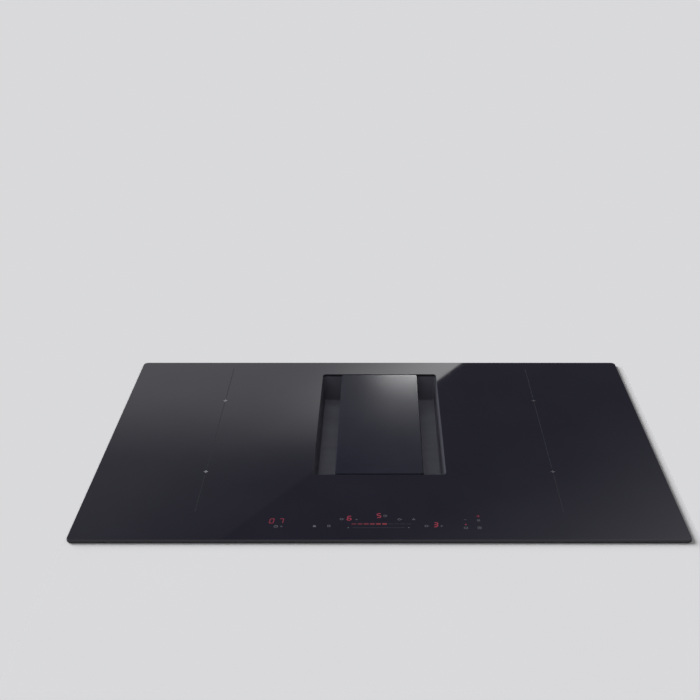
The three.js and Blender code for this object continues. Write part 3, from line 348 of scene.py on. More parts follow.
ceramic = glass_ceramic()
ground_edge = ground_edge_glass("ground_edge", srgb(44, 44, 50))
# The opening's ground edge is the same finish painted paler: painted light that lifts the shade inside
# the opening.
opening_edge = ground_edge_glass("opening_edge", srgb(48, 48, 55))
satin = satin_glass()
slot_materials = {
    "glass_black": ceramic,
    "glass_satin": satin,
    "foam": soft_rubber("foam_tape", srgb(40, 40, 42), 900),
    "moulding_black": grained_moulding("black_moulding", srgb(42, 42, 45), 0.42),
    "moulding_grey": grained_moulding("grey_moulding", srgb(92, 96, 100), 0.5),
    "galvanised": galvanised_sheet(),
    "stainless": brushed("stainless_steel", srgb(190, 190, 192), 0.3, (1, 0.04, 1)),
    "aluminium": brushed("mill_aluminium", srgb(200, 202, 205), 0.38, (1, 0.05, 1)),
    "copper": wound_copper(),
    "mica": pressed_mica(),
    "ferrite": sintered_ferrite(),
    "circuit": solder_mask(),
    "rubber": soft_rubber("black_rubber", srgb(30, 30, 32), 500),
    "white": grained_moulding("white_moulding", srgb(214, 214, 210), 0.45),
}
basin_material = grained_moulding("basin_moulding", srgb(92, 92, 102), 0.45, grain=700, gloss=0.04)
print_pale = screen_print("pale_print", srgb(176, 176, 182))
# The same pale ink painted darker: painted shade on the marks of the right-hand zones.
print_painted_shade = screen_print("dim_print", srgb(108, 108, 114))
print_dark = screen_print("dark_print", srgb(38, 38, 46), roughness=0.6, gloss=0.2)
LAMP_RED = srgb(255, 88, 108)
LAMP_PALE = srgb(225, 225, 235)
lamp_red = lit("red_lamp", LAMP_RED, 0.22)
lamp_level = lit("level_lamp", LAMP_RED, 0.3)
lamp_pale = lit("pale_lamp", LAMP_PALE, 0.13)
lamp_bright = lit("bright_lamp", LAMP_PALE, 0.15)
lamp_faint = lit("faint_lamp", LAMP_PALE, 0.04)

# ---- Mesh tools ----------------------------------------------------------------------------


def add_object(name, bm, material, smooth_angle=35, closed=True):
    """A finished mesh in the scene, with a sharp edge where faces meet at more than an angle.

    The faces of a closed one are turned outwards.
    """
    if closed:
        bmesh.ops.recalc_face_normals(bm, faces=bm.faces)
    mesh = bpy.data.meshes.new(name)
    bm.to_mesh(mesh)
    bm.free()
    mesh.materials.append(material)
    for polygon in mesh.polygons:
        polygon.use_smooth = True
    mesh.set_sharp_from_angle(angle=math.radians(smooth_angle))
    made = bpy.data.objects.new(name, mesh)
    bpy.context.scene.collection.objects.link(made)
    return made


def applied(piece):
    """The piece's mesh with its modifiers worked in."""
    graph = bpy.context.evaluated_depsgraph_get()
    mesh = bpy.data.meshes.new_from_object(piece.evaluated_get(graph))
    piece.modifiers.clear()
    piece.data = mesh
    return piece


def weighted(piece):
    """Large flat faces keep their own direction, and the narrow ones beside them blend."""
    weight = piece.modifiers.new("weight", "WEIGHTED_NORMAL")
    weight.keep_sharp = True
    return applied(piece)


def rounded_loop(width, depth, radius, x=0, y=0, z=0, steps=8):
    """Points of a rounded rectangle, counter-clockwise, with the same count for every size."""
    points = []
    for corner, (sx, sy) in enumerate([(1, 1), (-1, 1), (-1, -1), (1, -1)]):
        cx = x + sx * (width / 2 - radius)
        cy = y + sy * (depth / 2 - radius)
        for i in range(steps + 1):
            angle = math.pi / 2 * (corner + i / steps)
            points.append(Vector((cx + radius * math.cos(angle), cy + radius * math.sin(angle), z)))
    return points


def add_band(bm, first, second):
    """Quads between two closed rows of vertices."""
    for i in range(len(first)):
        j = (i + 1) % len(first)
        bm.faces.new((first[i], first[j], second[j], second[i]))


def prism(outline, low, high):
    """Loops of an upright solid over an outline of (x, y), between two levels."""
    return [[(x, y, z) for x, y in outline] for z in (low, high)]


def add_solids(name, solids, material, smooth_angle=35, wrap=False):
    """A piece of closed solids: each runs through loops of equal count.

    A solid is capped at both ends, or wrapped to a ring.
    """
    bm = bmesh.new()
    for loops in solids:
        rows = [[bm.verts.new(point) for point in loop] for loop in loops]
        pairs = list(zip(rows, rows[1:]))
        if wrap:
            pairs.append((rows[-1], rows[0]))
        else:
            bm.faces.new(rows[0])
            bm.faces.new(rows[-1])
        for first, second in pairs:
            add_band(bm, first, second)
    return add_object(name, bm, material, smooth_angle)


def finish_piece(piece, node, replace=True):
    """Let a piece ride with a CAD node's body and, as a rule, take its place."""
    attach(piece, body_of[node])
    if replace:
        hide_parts(node)
    return piece


# ---- Glass, cover and basin ----------------------------------------------------------------

GLASS_FINISH, SIDE_FINISH, OPENING_PAINTED_PALER = range(3)
LEVEL_SLOPE = 0.99
UPRIGHT_SLOPE = 0.3
SIDEWAYS_SLOPE = 0.35


def softened_steps(*steps):
    """Insets and drops of an edge, each corner of its outline slightly rounded."""
    soft = 0.12
    points = []
    for before, here, after in zip(steps, steps[1:], steps[2:]):
        for other in (before, after):
            points.append(tuple(h + (o - h) * soft for h, o in zip(here, other)))
    return [steps[0], *points, steps[-1]]


def chamfer(size):
    """Insets and drops of a plain chamfer."""
    return softened_steps((0, 2 * size), (0, size), (size, 0), (2 * size, 0))


def opening_loop(width, depth, corner, z, grow=0, steps=8):
    """A rounded rectangle about the opening's middle, moved outwards by a distance."""
    return rounded_loop(
        width + 2 * grow, depth + 2 * grow, corner + grow, 0, OPENING_CENTRE_Y, z, steps
    )


def glass_finish(polygon):
    """Which finish a face of the glass has, from its place and its slope."""
    near_opening = abs(polygon.center.x) < OPENING_WIDTH and abs(polygon.center.y) < 0.7 * OPENING_DEPTH
    slope = polygon.normal
    if near_opening:
        # Faces round the opening take the ground edge painted paler, as painted light against the shade
        # there.
        return OPENING_PAINTED_PALER if slope.z < LEVEL_SLOPE else GLASS_FINISH
    ground = abs(slope.z) < UPRIGHT_SLOPE or abs(slope.x) > SIDEWAYS_SLOPE
    return SIDE_FINISH if ground else GLASS_FINISH


def glass_plate():
    """The glass: ground sides with a fine arris, a wide front bevel, and the opening's edge, whose
    ground finish is painted paler against the shade inside the opening.
    """
    width = glass_high.x - glass_low.x
    depth = glass_high.y - glass_low.y
    low = glass_low.z
    side_steps = softened_steps((0, FRONT_BEVEL), (0, ARRIS), (ARRIS, 0), (2 * ARRIS, 0))
    front_steps = softened_steps(
        (0, FRONT_BEVEL), (FRONT_BEVEL - ARRIS, ARRIS), (FRONT_BEVEL, 0), (2 * FRONT_BEVEL, 0)
    )

    def outer(side, front, z):
        deep = depth - side - front
        return rounded_loop(width - 2 * side, deep, GLASS_CORNER - side / 2, 0, (front - side) / 2, z)

    def inner(grow, z):
        return opening_loop(OPENING_WIDTH, OPENING_DEPTH, OPENING_CORNER, z, grow)

    loops = [outer(ARRIS, ARRIS, low), outer(0, 0, low + ARRIS)]
    loops += [
        outer(side, front, GLASS_FACE - drop)
        for (side, drop), (front, _) in zip(side_steps, front_steps)
    ]
    loops += [inner(grow, GLASS_FACE - drop) for grow, drop in reversed(chamfer(OPENING_BEVEL))]
    loops += [inner(0, low + ARRIS), inner(ARRIS, low)]
    piece = weighted(add_solids("glass_plate", [loops], ceramic, smooth_angle=20, wrap=True))
    piece.data.materials.append(ground_edge)
    piece.data.materials.append(opening_edge)
    for polygon in piece.data.polygons:
        polygon.material_index = glass_finish(polygon)
    return finish_piece(piece, "glass_top")


def cover_plate():
    """The cover, flush with the glass, with a fine bevel all round."""
    width = cover_high.x - cover_low.x
    depth = cover_high.y - cover_low.y
    low = cover_low.z

    def ring(inset, z):
        corner = COVER_CORNER - inset / 2
        return rounded_loop(width - 2 * inset, depth - 2 * inset, corner, 0, OPENING_CENTRE_Y, z)

    loops = [ring(ARRIS, low), ring(0, low + ARRIS)]
    loops += [ring(inset, GLASS_FACE - drop) for inset, drop in chamfer(COVER_BEVEL)]
    return finish_piece(weighted(add_solids("cover_plate", [loops], satin)), "cover_panel")


BASIN_WALL = 2.4 * MM
BASIN_DRAFT = 1.3 * MM
BASIN_SETBACK = 0.4 * MM
BASIN_FILLET = 2.8 * MM
BASIN_FLANGE = 12 * MM
LEDGE_FALL = 2.6 * MM
THROAT_HEIGHT = 22 * MM
THROAT_WIDTH = 114 * MM
THROAT_DEPTH = OPENING_DEPTH - 36 * MM
THROAT_CORNER = 10 * MM
SEAT_LIP = 7 * MM


def basin_shell():
    """Drafted walls, a ledge that falls inwards to the seat, and the throat below it."""
    neck = basin_low.z
    rim = basin_high.z
    seat = neck + THROAT_HEIGHT + BASIN_WALL
    ledge = seat + LEDGE_FALL

    def mouth(z, grow=0):
        corner = OPENING_CORNER + BASIN_SETBACK
        grow_sides = 2 * BASIN_SETBACK
        return opening_loop(OPENING_WIDTH + grow_sides, OPENING_DEPTH + grow_sides, corner, z, grow, 6)

    def foot(inset, z, grow=0):
        less = 2 * (BASIN_DRAFT - BASIN_SETBACK + inset)
        return opening_loop(OPENING_WIDTH - less, OPENING_DEPTH - less, OPENING_CORNER, z, grow, 6)

    def throat(reach, z, grow=0):
        return opening_loop(
            THROAT_WIDTH + 2 * reach, THROAT_DEPTH + 2 * reach, THROAT_CORNER, z, grow, 6
        )

    inside = [
        mouth(rim - 0.2 * MM, 0.2 * MM),
        mouth(rim - 0.6 * MM),
        foot(0, ledge + BASIN_FILLET),
        foot(BASIN_FILLET / 2, ledge + BASIN_FILLET * 0.3),
        foot(BASIN_FILLET, ledge - BASIN_FILLET * 0.1),
        throat(SEAT_LIP, seat),
        throat(0, seat, 0.4 * MM),
        throat(0, seat - 0.4 * MM),
        throat(0, neck),
    ]
    outside = [
        throat(0, neck, BASIN_WALL),
        throat(0, seat - BASIN_WALL, BASIN_WALL),
        throat(SEAT_LIP, seat - BASIN_WALL, BASIN_WALL),
        foot(0, ledge - BASIN_WALL, BASIN_WALL),
        mouth(rim - BASIN_WALL, BASIN_WALL),
        mouth(rim - BASIN_WALL, BASIN_WALL + BASIN_FLANGE),
        mouth(rim, BASIN_WALL + BASIN_FLANGE),
    ]
    shell = add_solids("basin_shell", [inside + outside], basin_material, wrap=True)
    return finish_piece(weighted(shell), "inlet_basin")


glass_plate()
cover = cover_plate()
basin = basin_shell()

# ---- Every other solid, with its edges rounded ---------------------------------------------

WINDINGS = sorted(node for node in nodes if node.startswith("winding_"))
MESHES = ("filter_mesh_left", "filter_mesh_right")
DRESSED = {"glass_top", "cover_panel", "inlet_basin", *WINDINGS, *MESHES}
SOFT_EDGE = {"galvanised": 0.25, "aluminium": 0.2, "stainless": 0.2, "circuit": 0.15, "mica": 0.1}
PLAIN_EDGE = 0.4
SHARP_ANGLE = math.radians(40)
FLAT_ANGLE = math.radians(1)
SAME_POINT = 0.002 * MM
DISPLAY_RISE = 3.9 * MM
PINS_AND_BOARD = 7.3 * MM
BOARD_MARGIN = 0.2 * MM
component_black = grained_moulding("component_black", srgb(36, 36, 40), 0.4)
component_metal = brushed("component_metal", srgb(190, 192, 196), 0.35, (1, 1, 0.1))


def rounded(piece, edge):
    """The piece with its sharp edges rounded."""
    bevel = piece.modifiers.new("round", "BEVEL")
    bevel.width = edge
    bevel.segments = 2
    bevel.limit_method = "ANGLE"
    bevel.angle_limit = SHARP_ANGLE
    bevel.use_clamp_overlap = True
    return weighted(piece)


def carved(piece, cutter):
    """The piece less the cutter, which is then taken away."""
    cut = piece.modifiers.new("carve", "BOOLEAN")
    cut.object = cutter
    cut.operation = "DIFFERENCE"
    cut.solver = "EXACT"
    applied(piece)
    bpy.data.objects.remove(cutter)
    return piece


def softened(node, edge, cutters=()):
    """A copy of a solid: flat triangles joined, sharp edges rounded, curved faces smooth."""
    bm = bmesh.new()
    bm.from_mesh(nodes[node].data)
    bmesh.ops.remove_doubles(bm, verts=bm.verts, dist=SAME_POINT)
    bmesh.ops.dissolve_limit(bm, angle_limit=FLAT_ANGLE, verts=bm.verts, edges=bm.edges)
    piece = add_object("fine_" + node, bm, slot_materials[slot_of[node]], closed=False)
    for cutter in cutters:
        carved(piece, cutter)
    return finish_piece(rounded(piece, edge), node)


BLOWER = Vector((0, 40 * MM))


def about_blower(radius, degrees):
    """A point of the plan at a radius and an angle about the blower's axis."""
    angle = math.radians(degrees)
    return BLOWER + radius * Vector((math.cos(angle), math.sin(angle)))


def floor_pockets():
    """Shallow pockets that leave ribs on the underside of the scroll's floor, as rays and rings."""
    bays = 12
    half_rib = 1.5 * MM
    steps = 6
    deep = 0.9 * MM
    below = 1 * MM
    pockets = []
    for inner, outer in ((47 * MM, 75 * MM), (78 * MM, 106 * MM)):
        for bay in range(bays):
            outline = []
            for radius, order in ((inner, 1), (outer, -1)):
                margin = math.degrees(half_rib / radius)
                first = 360 * bay / bays + margin
                last = 360 * (bay + 1) / bays - margin
                turns = [first + (last - first) * i / steps for i in range(steps + 1)]
                outline += [about_blower(radius, degrees) for degrees in turns][::order]
            pockets.append(prism(outline, case_low.z - below, case_low.z + deep))
    return add_solids("pocket_cutter", pockets, slot_materials["moulding_black"])


def board_face(node):
    """Upper side of a circuit board: displays stand on the touch board, pins below the others."""
    low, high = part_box(node)
    return high.z - DISPLAY_RISE if node == "touch_board" else low.z + PINS_AND_BOARD


def dress_board(piece, face):
    """Give what stands on a board the finish of components: dark sides, round tops of metal."""
    piece.data.materials.append(component_black)
    piece.data.materials.append(component_metal)
    for polygon in piece.data.polygons:
        if polygon.center.z > face + BOARD_MARGIN:
            round_top = polygon.normal.z > 0.9 and len(polygon.vertices) > 6
            polygon.material_index = 2 if round_top else 1


body_pieces = []
for node in sorted(nodes):
    if node in DRESSED:
        continue
    cutters = [floor_pockets()] if node == "scroll_case" else []
    piece = softened(node, SOFT_EDGE.get(slot_of[node], PLAIN_EDGE) * MM, cutters)
    body_pieces.append(piece)
    if slot_of[node] == "circuit":
        dress_board(piece, board_face(node))

# ---- Screws, ribs and beads ----------------------------------------------------------------

SCREW_SIDES = 12
# A screw's head from its seat to the bottom of its socket: reach, rise and depth of the lobes,
# as shares of its radius.
SCREW_PROFILE = (
    (0.9, -0.1, 0), (1, 0, 0), (1, 0.3, 0), (0.86, 0.54, 0),
    (0.56, 0.66, 0), (0.52, 0.66, 0.25), (0.5, 0.25, 0.25),
)
screw_steel = brushed("screw_steel", srgb(172, 174, 178), 0.32, (1, 1, 1))


def screw(place, axis, radius):
    """A pan-head screw: its seat at a place, its head along an axis, with a six-lobed socket."""
    turn = Vector(axis).to_track_quat("Z", "Y").to_matrix()
    rows = []
    for reach, rise, lobe in SCREW_PROFILE:
        row = []
        for i in range(SCREW_SIDES):
            angle = 2 * math.pi * i / SCREW_SIDES
            far = radius * reach * (1 - lobe * (i % 2))
            point = Vector((far * math.cos(angle), far * math.sin(angle), radius * rise))
            row.append(Vector(place) + turn @ point)
        rows.append(row)
    return rows


def screws(name, node, places, axis, radius=3 * MM):
    """All screws of one face, as one piece on that node's body."""
    heads = [screw(place, axis, radius) for place in places]
    piece = add_solids(name, heads, screw_steel, smooth_angle=40)
    body_pieces.append(finish_piece(piece, node, replace=False))


def moulded(name, node, solids, edge):
    """Small ribs or lugs that belong to a node, in its own material."""
    piece = add_solids(name, solids, slot_materials[slot_of[node]])
    body_pieces.append(finish_piece(rounded(piece, edge), node, replace=False))


def grid(centre, half_width, half_depth, z):
    """Four places round a centre."""
    return [
        (centre[0] + sx * half_width, centre[1] + sy * half_depth, z) for sx in (-1, 1) for sy in (-1, 1)
    ]


SEAM_INSET = 4.5 * MM
FAN_INSET = 5.5 * MM
BOARD_INSET = 6 * MM
CLIP_THICKNESS = 1.3 * MM
CLIP_SCREW_RISE = 4.5 * MM
WALL_SCREW_RISE = 7 * MM


def floor_screws():
    """Screws along the floor's seam, and under each fan and board that stands on the floor."""
    places = []
    edge_x = frame_high.x - SEAM_INSET
    edge_y = frame_high.y - SEAM_INSET
    for side in (-1, 1):
        places += [(share * edge_x, side * edge_y, FLOOR_UNDER) for share in (-0.95, -0.5, 0.5, 0.95)]
        places += [(side * edge_x, share * edge_y, FLOOR_UNDER) for share in (-0.6, 0, 0.6)]
    for node, inset in (
        ("fan_housing_left", FAN_INSET), ("fan_housing_right", FAN_INSET),
        ("power_board_left", BOARD_INSET), ("power_board_right", BOARD_INSET),
        ("mains_board", BOARD_INSET), ("blower_board", BOARD_INSET),
    ):
        low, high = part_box(node)
        centre = (low + high) / 2
        half = (high - low) / 2
        places += grid(centre, half.x - inset, half.y - inset, FLOOR_UNDER)
    screws("casing_floor_screws", "casing_floor", places, (0, 0, -1))


def wall_screws():
    """A screw through each spring clip, and four in the front and the back wall."""
    face = frame_high.x + CLIP_THICKNESS
    for side, name in ((-1, "left"), (1, "right")):
        places = []
        for end in ("front", "back"):
            low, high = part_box(f"clip_{end}_{name}")
            places.append((side * face, (low.y + high.y) / 2, low.z + CLIP_SCREW_RISE))
        screws(f"clip_screws_{name}", "casing_frame", places, (side, 0, 0), 2.4 * MM)
    level = frame_low.z + WALL_SCREW_RISE
    for side, name in ((-1, "front"), (1, "back")):
        places = [(x * MM, side * frame_high.y, level) for x in (-360, -180, 180, 360)]
        screws(f"casing_screws_{name}", "casing_frame", places, (0, side, 0), 2.6 * MM)


X_AXIS, Y_AXIS, Z_AXIS = Vector((1, 0, 0)), Vector((0, 1, 0)), Vector((0, 0, 1))
BEAD_PROFILE = ((0, -SINK), (0.6 * MM, 0.35 * MM), (1.6 * MM, 0.8 * MM), (2.6 * MM, 0.9 * MM))


def bead(centre, across, out, length, width):
    """A long pressed bead along x, with round ends: it swells from a face to a flat crown."""
    rows = []
    for inset, rise in BEAD_PROFILE:
        outline = rounded_loop(length - 2 * inset, width - 2 * inset, width / 2 - inset, steps=5)
        rows.append([centre + X_AXIS * p.x + across * p.y + out * rise for p in outline])
    return rows


def casing_beads():
    """Beads that stiffen the sheet: across the floor on both sides, and along front and back."""
    x, length, width = 270 * MM, 205 * MM, 9 * MM
    beads = [
        bead(Vector((side * x, y * MM, FLOOR_UNDER)), Y_AXIS, -Z_AXIS, length, width)
        for side in (-1, 1)
        for y in (-90, -40, 0, 40, 80, 134)
    ]
    moulded("casing_floor_beads", "casing_floor", beads, 0.1 * MM)
    level = (frame_low.z + frame_high.z) / 2 + 6 * MM
    width = 8 * MM
    beads = [
        bead(Vector((x * MM, side * frame_high.y, level)), Z_AXIS, side * Y_AXIS, length * MM, width)
        for side, x, length in ((-1, -200, 320), (-1, 200, 320), (1, -200, 320), (1, 110, 240))
    ]
    moulded("casing_wall_beads", "casing_frame", beads, 0.1 * MM)


SCROLL_START = 112 * MM
SCROLL_GROWTH = 73 * MM
TONGUE = 80
BELT_START = 118
SCROLL_WALL = 2.5 * MM


def scroll_outside(degrees):
    """Reach of the scroll's outer face, which grows steadily from the tongue."""
    share = (degrees - TONGUE) / (360 - TONGUE)
    return SCROLL_START + share * SCROLL_GROWTH + SCROLL_WALL


def scroll_belts():
    """Two belts round the scroll's wall, from its narrow end to the flank of the outlet."""
    proud = 2 * MM
    half_height = 1.2 * MM
    flank = BLOWER.x + scroll_outside(360)
    end = case_high.y - 8 * MM
    stations = []
    for degrees in range(BELT_START, 361, 4):
        wall = scroll_outside(degrees)
        stations.append((about_blower(wall - SINK, degrees), about_blower(wall + proud, degrees)))
    stations.append((Vector((flank - SINK, end)), Vector((flank + proud, end))))
    belts = []
    for share in (0.33, 0.67):
        level = case_low.z + share * (case_high.z - case_low.z)
        low, high = level - half_height, level + half_height
        rows = []
        for inner, outer in stations:
            corners = ((inner, low), (outer, low), (outer, high), (inner, high))
            rows.append([(point.x, point.y, z) for point, z in corners])
        belts.append(rows)
    moulded("scroll_belts", "scroll_case", belts, 0.4 * MM)


def lid_screws():
    """Screws in the lid's ears, where the plenum above leaves them free."""
    out = 2.75 * MM
    places = [about_blower(scroll_outside(degrees) + out, degrees) for degrees in (155, 200, 335)]
    places.append(Vector((scroll_outside(360) + out, (BLOWER.y + case_high.y - SCROLL_WALL) / 2)))
    screws("lid_screws", "scroll_lid", [(p.x, p.y, lid_high.z) for p in places], (0, 0, 1))


def plenum_lugs():
    """Round lugs that hold the plenum up to the casing's floor, each with its screw."""
    reach = 9 * MM
    half = 7 * MM
    under = plenum_high.z - 3 * MM
    turns = [math.radians(degrees) for degrees in range(-90, 91, 15)]
    lugs = []
    places = []
    for side in (-1, 1):
        for y in (-60, 50, 160):
            centre = Vector((side * (plenum_high.x + reach - half / 2), y * MM))
            outline = [
                (centre.x + side * half * math.cos(turn), centre.y + half * math.sin(turn))
                for turn in turns
            ]
            foot = side * (plenum_high.x - SINK)
            outline += [(foot, centre.y + half), (foot, centre.y - half)]
            lugs.append(prism(outline, under, plenum_high.z))
            places.append((centre.x, centre.y, under))
    moulded("plenum_lugs", "plenum", lugs, 0.4 * MM)
    screws("plenum_screws", "plenum", places, (0, 0, -1))


def rail_screws():
    """Two screws through the upper flange of each of the tank's rails."""
    inset = 3.6 * MM
    flange = 1.5 * MM
    for side, name in ((-1, "left"), (1, "right")):
        low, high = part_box("tank_rail_" + name)
        x = high.x - inset if side > 0 else low.x + inset
        places = [(x, low.y + share * (high.y - low.y), high.z - flange) for share in (0.2, 0.8)]
        screws("rail_screws_" + name, "tank_rail_" + name, places, (0, 0, -1), 2.4 * MM)


def collar_fittings():
    """Gussets between the outlet collar's flange and sleeve, and the flange's screws."""
    flange = 7 * MM
    rim = 1 * MM
    face = collar_low.y + 2.5 * MM
    back = face - SINK
    reach = 10 * MM
    half = 1 * MM
    width = collar_high.x - collar_low.x
    gussets = []
    places = []
    for share in (0.14, 0.38, 0.62, 0.86):
        x = collar_low.x + width * share
        for edge, way in ((collar_low.z, 1), (collar_high.z, -1)):
            sleeve = edge + way * (flange + SINK)
            corners = [(back, sleeve), (back, edge + way * rim), (face + reach, sleeve)]
            gussets.append([[(x + s * half, y, z) for y, z in corners] for s in (-1, 1)])
    moulded("collar_gussets", "outlet_collar", gussets, 0.2 * MM)
    for share in (0.02, 0.26, 0.5, 0.74, 0.98):
        x = collar_low.x + width * share
        x = min(max(x, collar_low.x + flange / 2), collar_high.x - flange / 2)
        places += [(x, face, collar_low.z + flange / 2), (x, face, collar_high.z - flange / 2)]
    screws("collar_screws", "outlet_collar", places, (0, 1, 0), 2.3 * MM)


def tank_grip():
    """Fine ridges on the tank's pull, for wet fingers."""
    half = 36 * MM
    first = 4.5 * MM
    pitch = 3 * MM
    section = [(0.1, -0.6), (-0.5, -0.5), (-0.8, 0), (-0.5, 0.5), (0.1, 0.6)]
    ridges = []
    for i in range(3):
        z = tank_high.z - first - pitch * i
        points = [(tank_low.y + dy * MM, z + dz * MM) for dy, dz in section]
        ridges.append([[(x, y, z) for y, z in points] for x in (-half, half)])
    moulded("tank_grip", "drip_tank", ridges, 0.15 * MM)


floor_screws()
wall_screws()
casing_beads()
scroll_belts()
lid_screws()
plenum_lugs()
rail_screws()
collar_fittings()
tank_grip()

# ---- Windings and filter meshes ------------------------------------------------------------

WINDING_EYE = 20 * MM
WINDING_GAP = 6 * MM
TURNS = 9
TURN_STEPS = 44
STRAND_SIDES = 8
STRAND_FILL = 0.94


def winding(node):
    """Flat spiral of oval litz in two sections: one turn between them crosses the gap."""
    low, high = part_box(node)
    centre = (low + high) / 2
    outer = (high.x - low.x) / 2
    section = (outer - WINDING_EYE - WINDING_GAP) / 2
    pitch = section / (TURNS + 1)
    start = WINDING_EYE + pitch / 2
    half_width = pitch / 2 * STRAND_FILL
    half_height = (high.z - low.z) / 2
    around = [2 * math.pi * k / STRAND_SIDES for k in range(STRAND_SIDES)]
    rows = []
    for i in range((2 * TURNS + 1) * TURN_STEPS + 1):
        turn = i / TURN_STEPS
        hop = min(max(turn - TURNS, 0), 1)
        radius = start + turn * pitch + WINDING_GAP * hop * hop * (3 - 2 * hop)
        out = Vector((math.cos(2 * math.pi * turn), math.sin(2 * math.pi * turn), 0))
        up = Vector((0, 0, half_height))
        rows.append(
            [centre + out * (radius + half_width * math.cos(a)) + up * math.sin(a) for a in around]
        )
    piece = add_solids("wound_" + node, [rows], slot_materials["copper"], smooth_angle=60)
    body_pieces.append(finish_piece(piece, node))


def flat_bar(start, end, half_width, half_thick):
    """A flat bar in a plane square to x."""
    along = (end - start).normalized()
    across = Vector((0, -along.z, along.y)) * half_width
    out = Vector((half_thick, 0, 0))
    corners = (-across - out, across - out, across + out, out - across)
    return [[point + corner for corner in corners] for point in (start, end)]


def mesh_panel(node):
    """Expanded steel: two sets of slanting strands in a flat border."""
    low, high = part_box(node)
    x = (low.x + high.x) / 2
    border = 1.5 * MM
    slope = 0.55
    apart = 0.9  # the sets lie this share of their thickness apart, so they merge at crossings
    thinner = 0.98  # keeps the faces of the border's upright bars off those of the level ones
    pitch = 5.2 * MM
    half_strand = 0.45 * MM
    half_thick = (high.x - low.x) / 4
    depth = high.y - low.y
    height = high.z - low.z
    bars = []
    for way in (-1, 1):
        base = low.z if way > 0 else high.z
        level = x + way * half_thick * apart
        first = low.y - height / slope
        for i in range(1, int((depth + height / slope) / pitch)):
            foot = first + i * pitch
            start_y = max(foot, low.y + border)
            end_y = min(foot + height / slope, high.y - border)
            start = Vector((level, start_y, base + way * slope * (start_y - foot)))
            end = Vector((level, end_y, base + way * slope * (end_y - foot)))
            bars.append(flat_bar(start, end, half_strand, half_thick))
    for z in (low.z + border, high.z - border):
        start, end = Vector((x, low.y, z)), Vector((x, high.y, z))
        bars.append(flat_bar(start, end, border, 2 * half_thick))
    for y in (low.y + border, high.y - border):
        start, end = Vector((x, y, low.z)), Vector((x, y, high.z))
        bars.append(flat_bar(start, end, border, 2 * half_thick * thinner))
    piece = add_solids("expanded_" + node, bars, slot_materials["stainless"])
    body_pieces.append(finish_piece(piece, node))


for node in WINDINGS:
    winding(node)
for node in MESHES:
    mesh_panel(node)

# ---- Prints on the glass and lit controls, in millimetres ----------------------------------


def flat_shape(name, outlines, material):
    """Thin flat marks on the glass: each outline is a convex list of (x, y)."""
    bm = bmesh.new()
    for outline in outlines:
        bm.faces.new([bm.verts.new((x * MM, y * MM, PRINT_LEVEL)) for x, y in outline])
    made = add_object(name, bm, material, closed=False)
    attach(made, "hob")


def stroke(x0, y0, x1, y1, width):
    """A straight line of a given width, as one quad."""
    along = Vector((x1 - x0, y1 - y0)).normalized() * (width / 2)
    return [
        (x0 - along.y, y0 + along.x),
        (x0 + along.y, y0 - along.x),
        (x1 + along.y, y1 - along.x),
        (x1 - along.y, y1 + along.x),
    ]


def bar(x, y, half, width):
    """A level line about a point."""
    return stroke(x - half, y, x + half, y, width)


def disc(x, y, radius, sides=16):
    """A filled circle."""
    angles = [2 * math.pi * i / sides for i in range(sides)]
    return [(x + radius * math.cos(a), y + radius * math.sin(a)) for a in angles]


def arc(x, y, radius, width, start=0, end=360, steps=16):
    """A thin arc, or a whole ring, as short quads."""
    inner, outer = radius - width / 2, radius + width / 2
    turns = [math.radians(start + (end - start) * i / steps) for i in range(steps + 1)]
    return [
        [
            (x + far * math.cos(turn), y + far * math.sin(turn))
            for far, turn in ((inner, first), (outer, first), (outer, last), (inner, last))
        ]
        for first, last in zip(turns, turns[1:])
    ]


ZONE_X = 254
ZONE_FRONT = -92
ZONE_BACK = 120.5
ZONE_LINE_BACK = 234
ZONE_LINE_FRONT = -192
ZONE_LINE_WIDTH = 0.9
ZONE_LINE_CLEAR = 8
CROSS_ARM = 3.2
CROSS_WIDTH = 0.64
CROSS_DOT = 1.7


def zone_marks(side, x, ink):
    """A small cross at the middle of each zone of one side, and a thin dark line through both."""
    crosses = []
    for y in (ZONE_FRONT, ZONE_BACK):
        crosses.append(bar(x, y, CROSS_ARM, CROSS_WIDTH))
        crosses.append(stroke(x, y - CROSS_ARM, x, y + CROSS_ARM, CROSS_WIDTH))
        crosses.append(disc(x, y, CROSS_DOT))
    flat_shape("zone_crosses_" + side, crosses, ink)
    clear = ZONE_LINE_CLEAR
    reaches = (
        (ZONE_BACK + clear, ZONE_LINE_BACK),
        (ZONE_BACK - clear, ZONE_FRONT + clear),
        (ZONE_FRONT - clear, ZONE_LINE_FRONT),
    )
    lines = [stroke(x, start, x, end, ZONE_LINE_WIDTH) for start, end in reaches]
    flat_shape("zone_line_" + side, lines, print_dark)


SEGMENTS = {"0": "abcdef", "3": "abgcd", "5": "afgcd", "6": "afgedc", "7": "abc"}
DIGIT_SHARE = 0.52
DIGIT_LEAN = 0.1


def digit(symbol, x, y, height, weight):
    """A seven-segment digit with its foot at (x, y), leaning slightly to the right."""
    width = height * DIGIT_SHARE
    line = height * weight
    gap = line * 0.35
    middle = height / 2
    lines = {
        "a": (gap, height, width - gap, height),
        "g": (gap, middle, width - gap, middle),
        "d": (gap, 0, width - gap, 0),
        "f": (0, middle + gap, 0, height - gap),
        "e": (0, gap, 0, middle - gap),
        "b": (width, middle + gap, width, height - gap),
        "c": (width, gap, width, middle - gap),
    }
    return [
        [(x + px + DIGIT_LEAN * py, y + py) for px, py in stroke(*lines[segment], line)]
        for segment in SEGMENTS[symbol]
    ]


def lit_digits(name, digits, lamp, weight):
    """Lit digits, each given by its symbol, its foot and its height."""
    flat_shape(name, [quad for entry in digits for quad in digit(*entry, weight)], lamp)


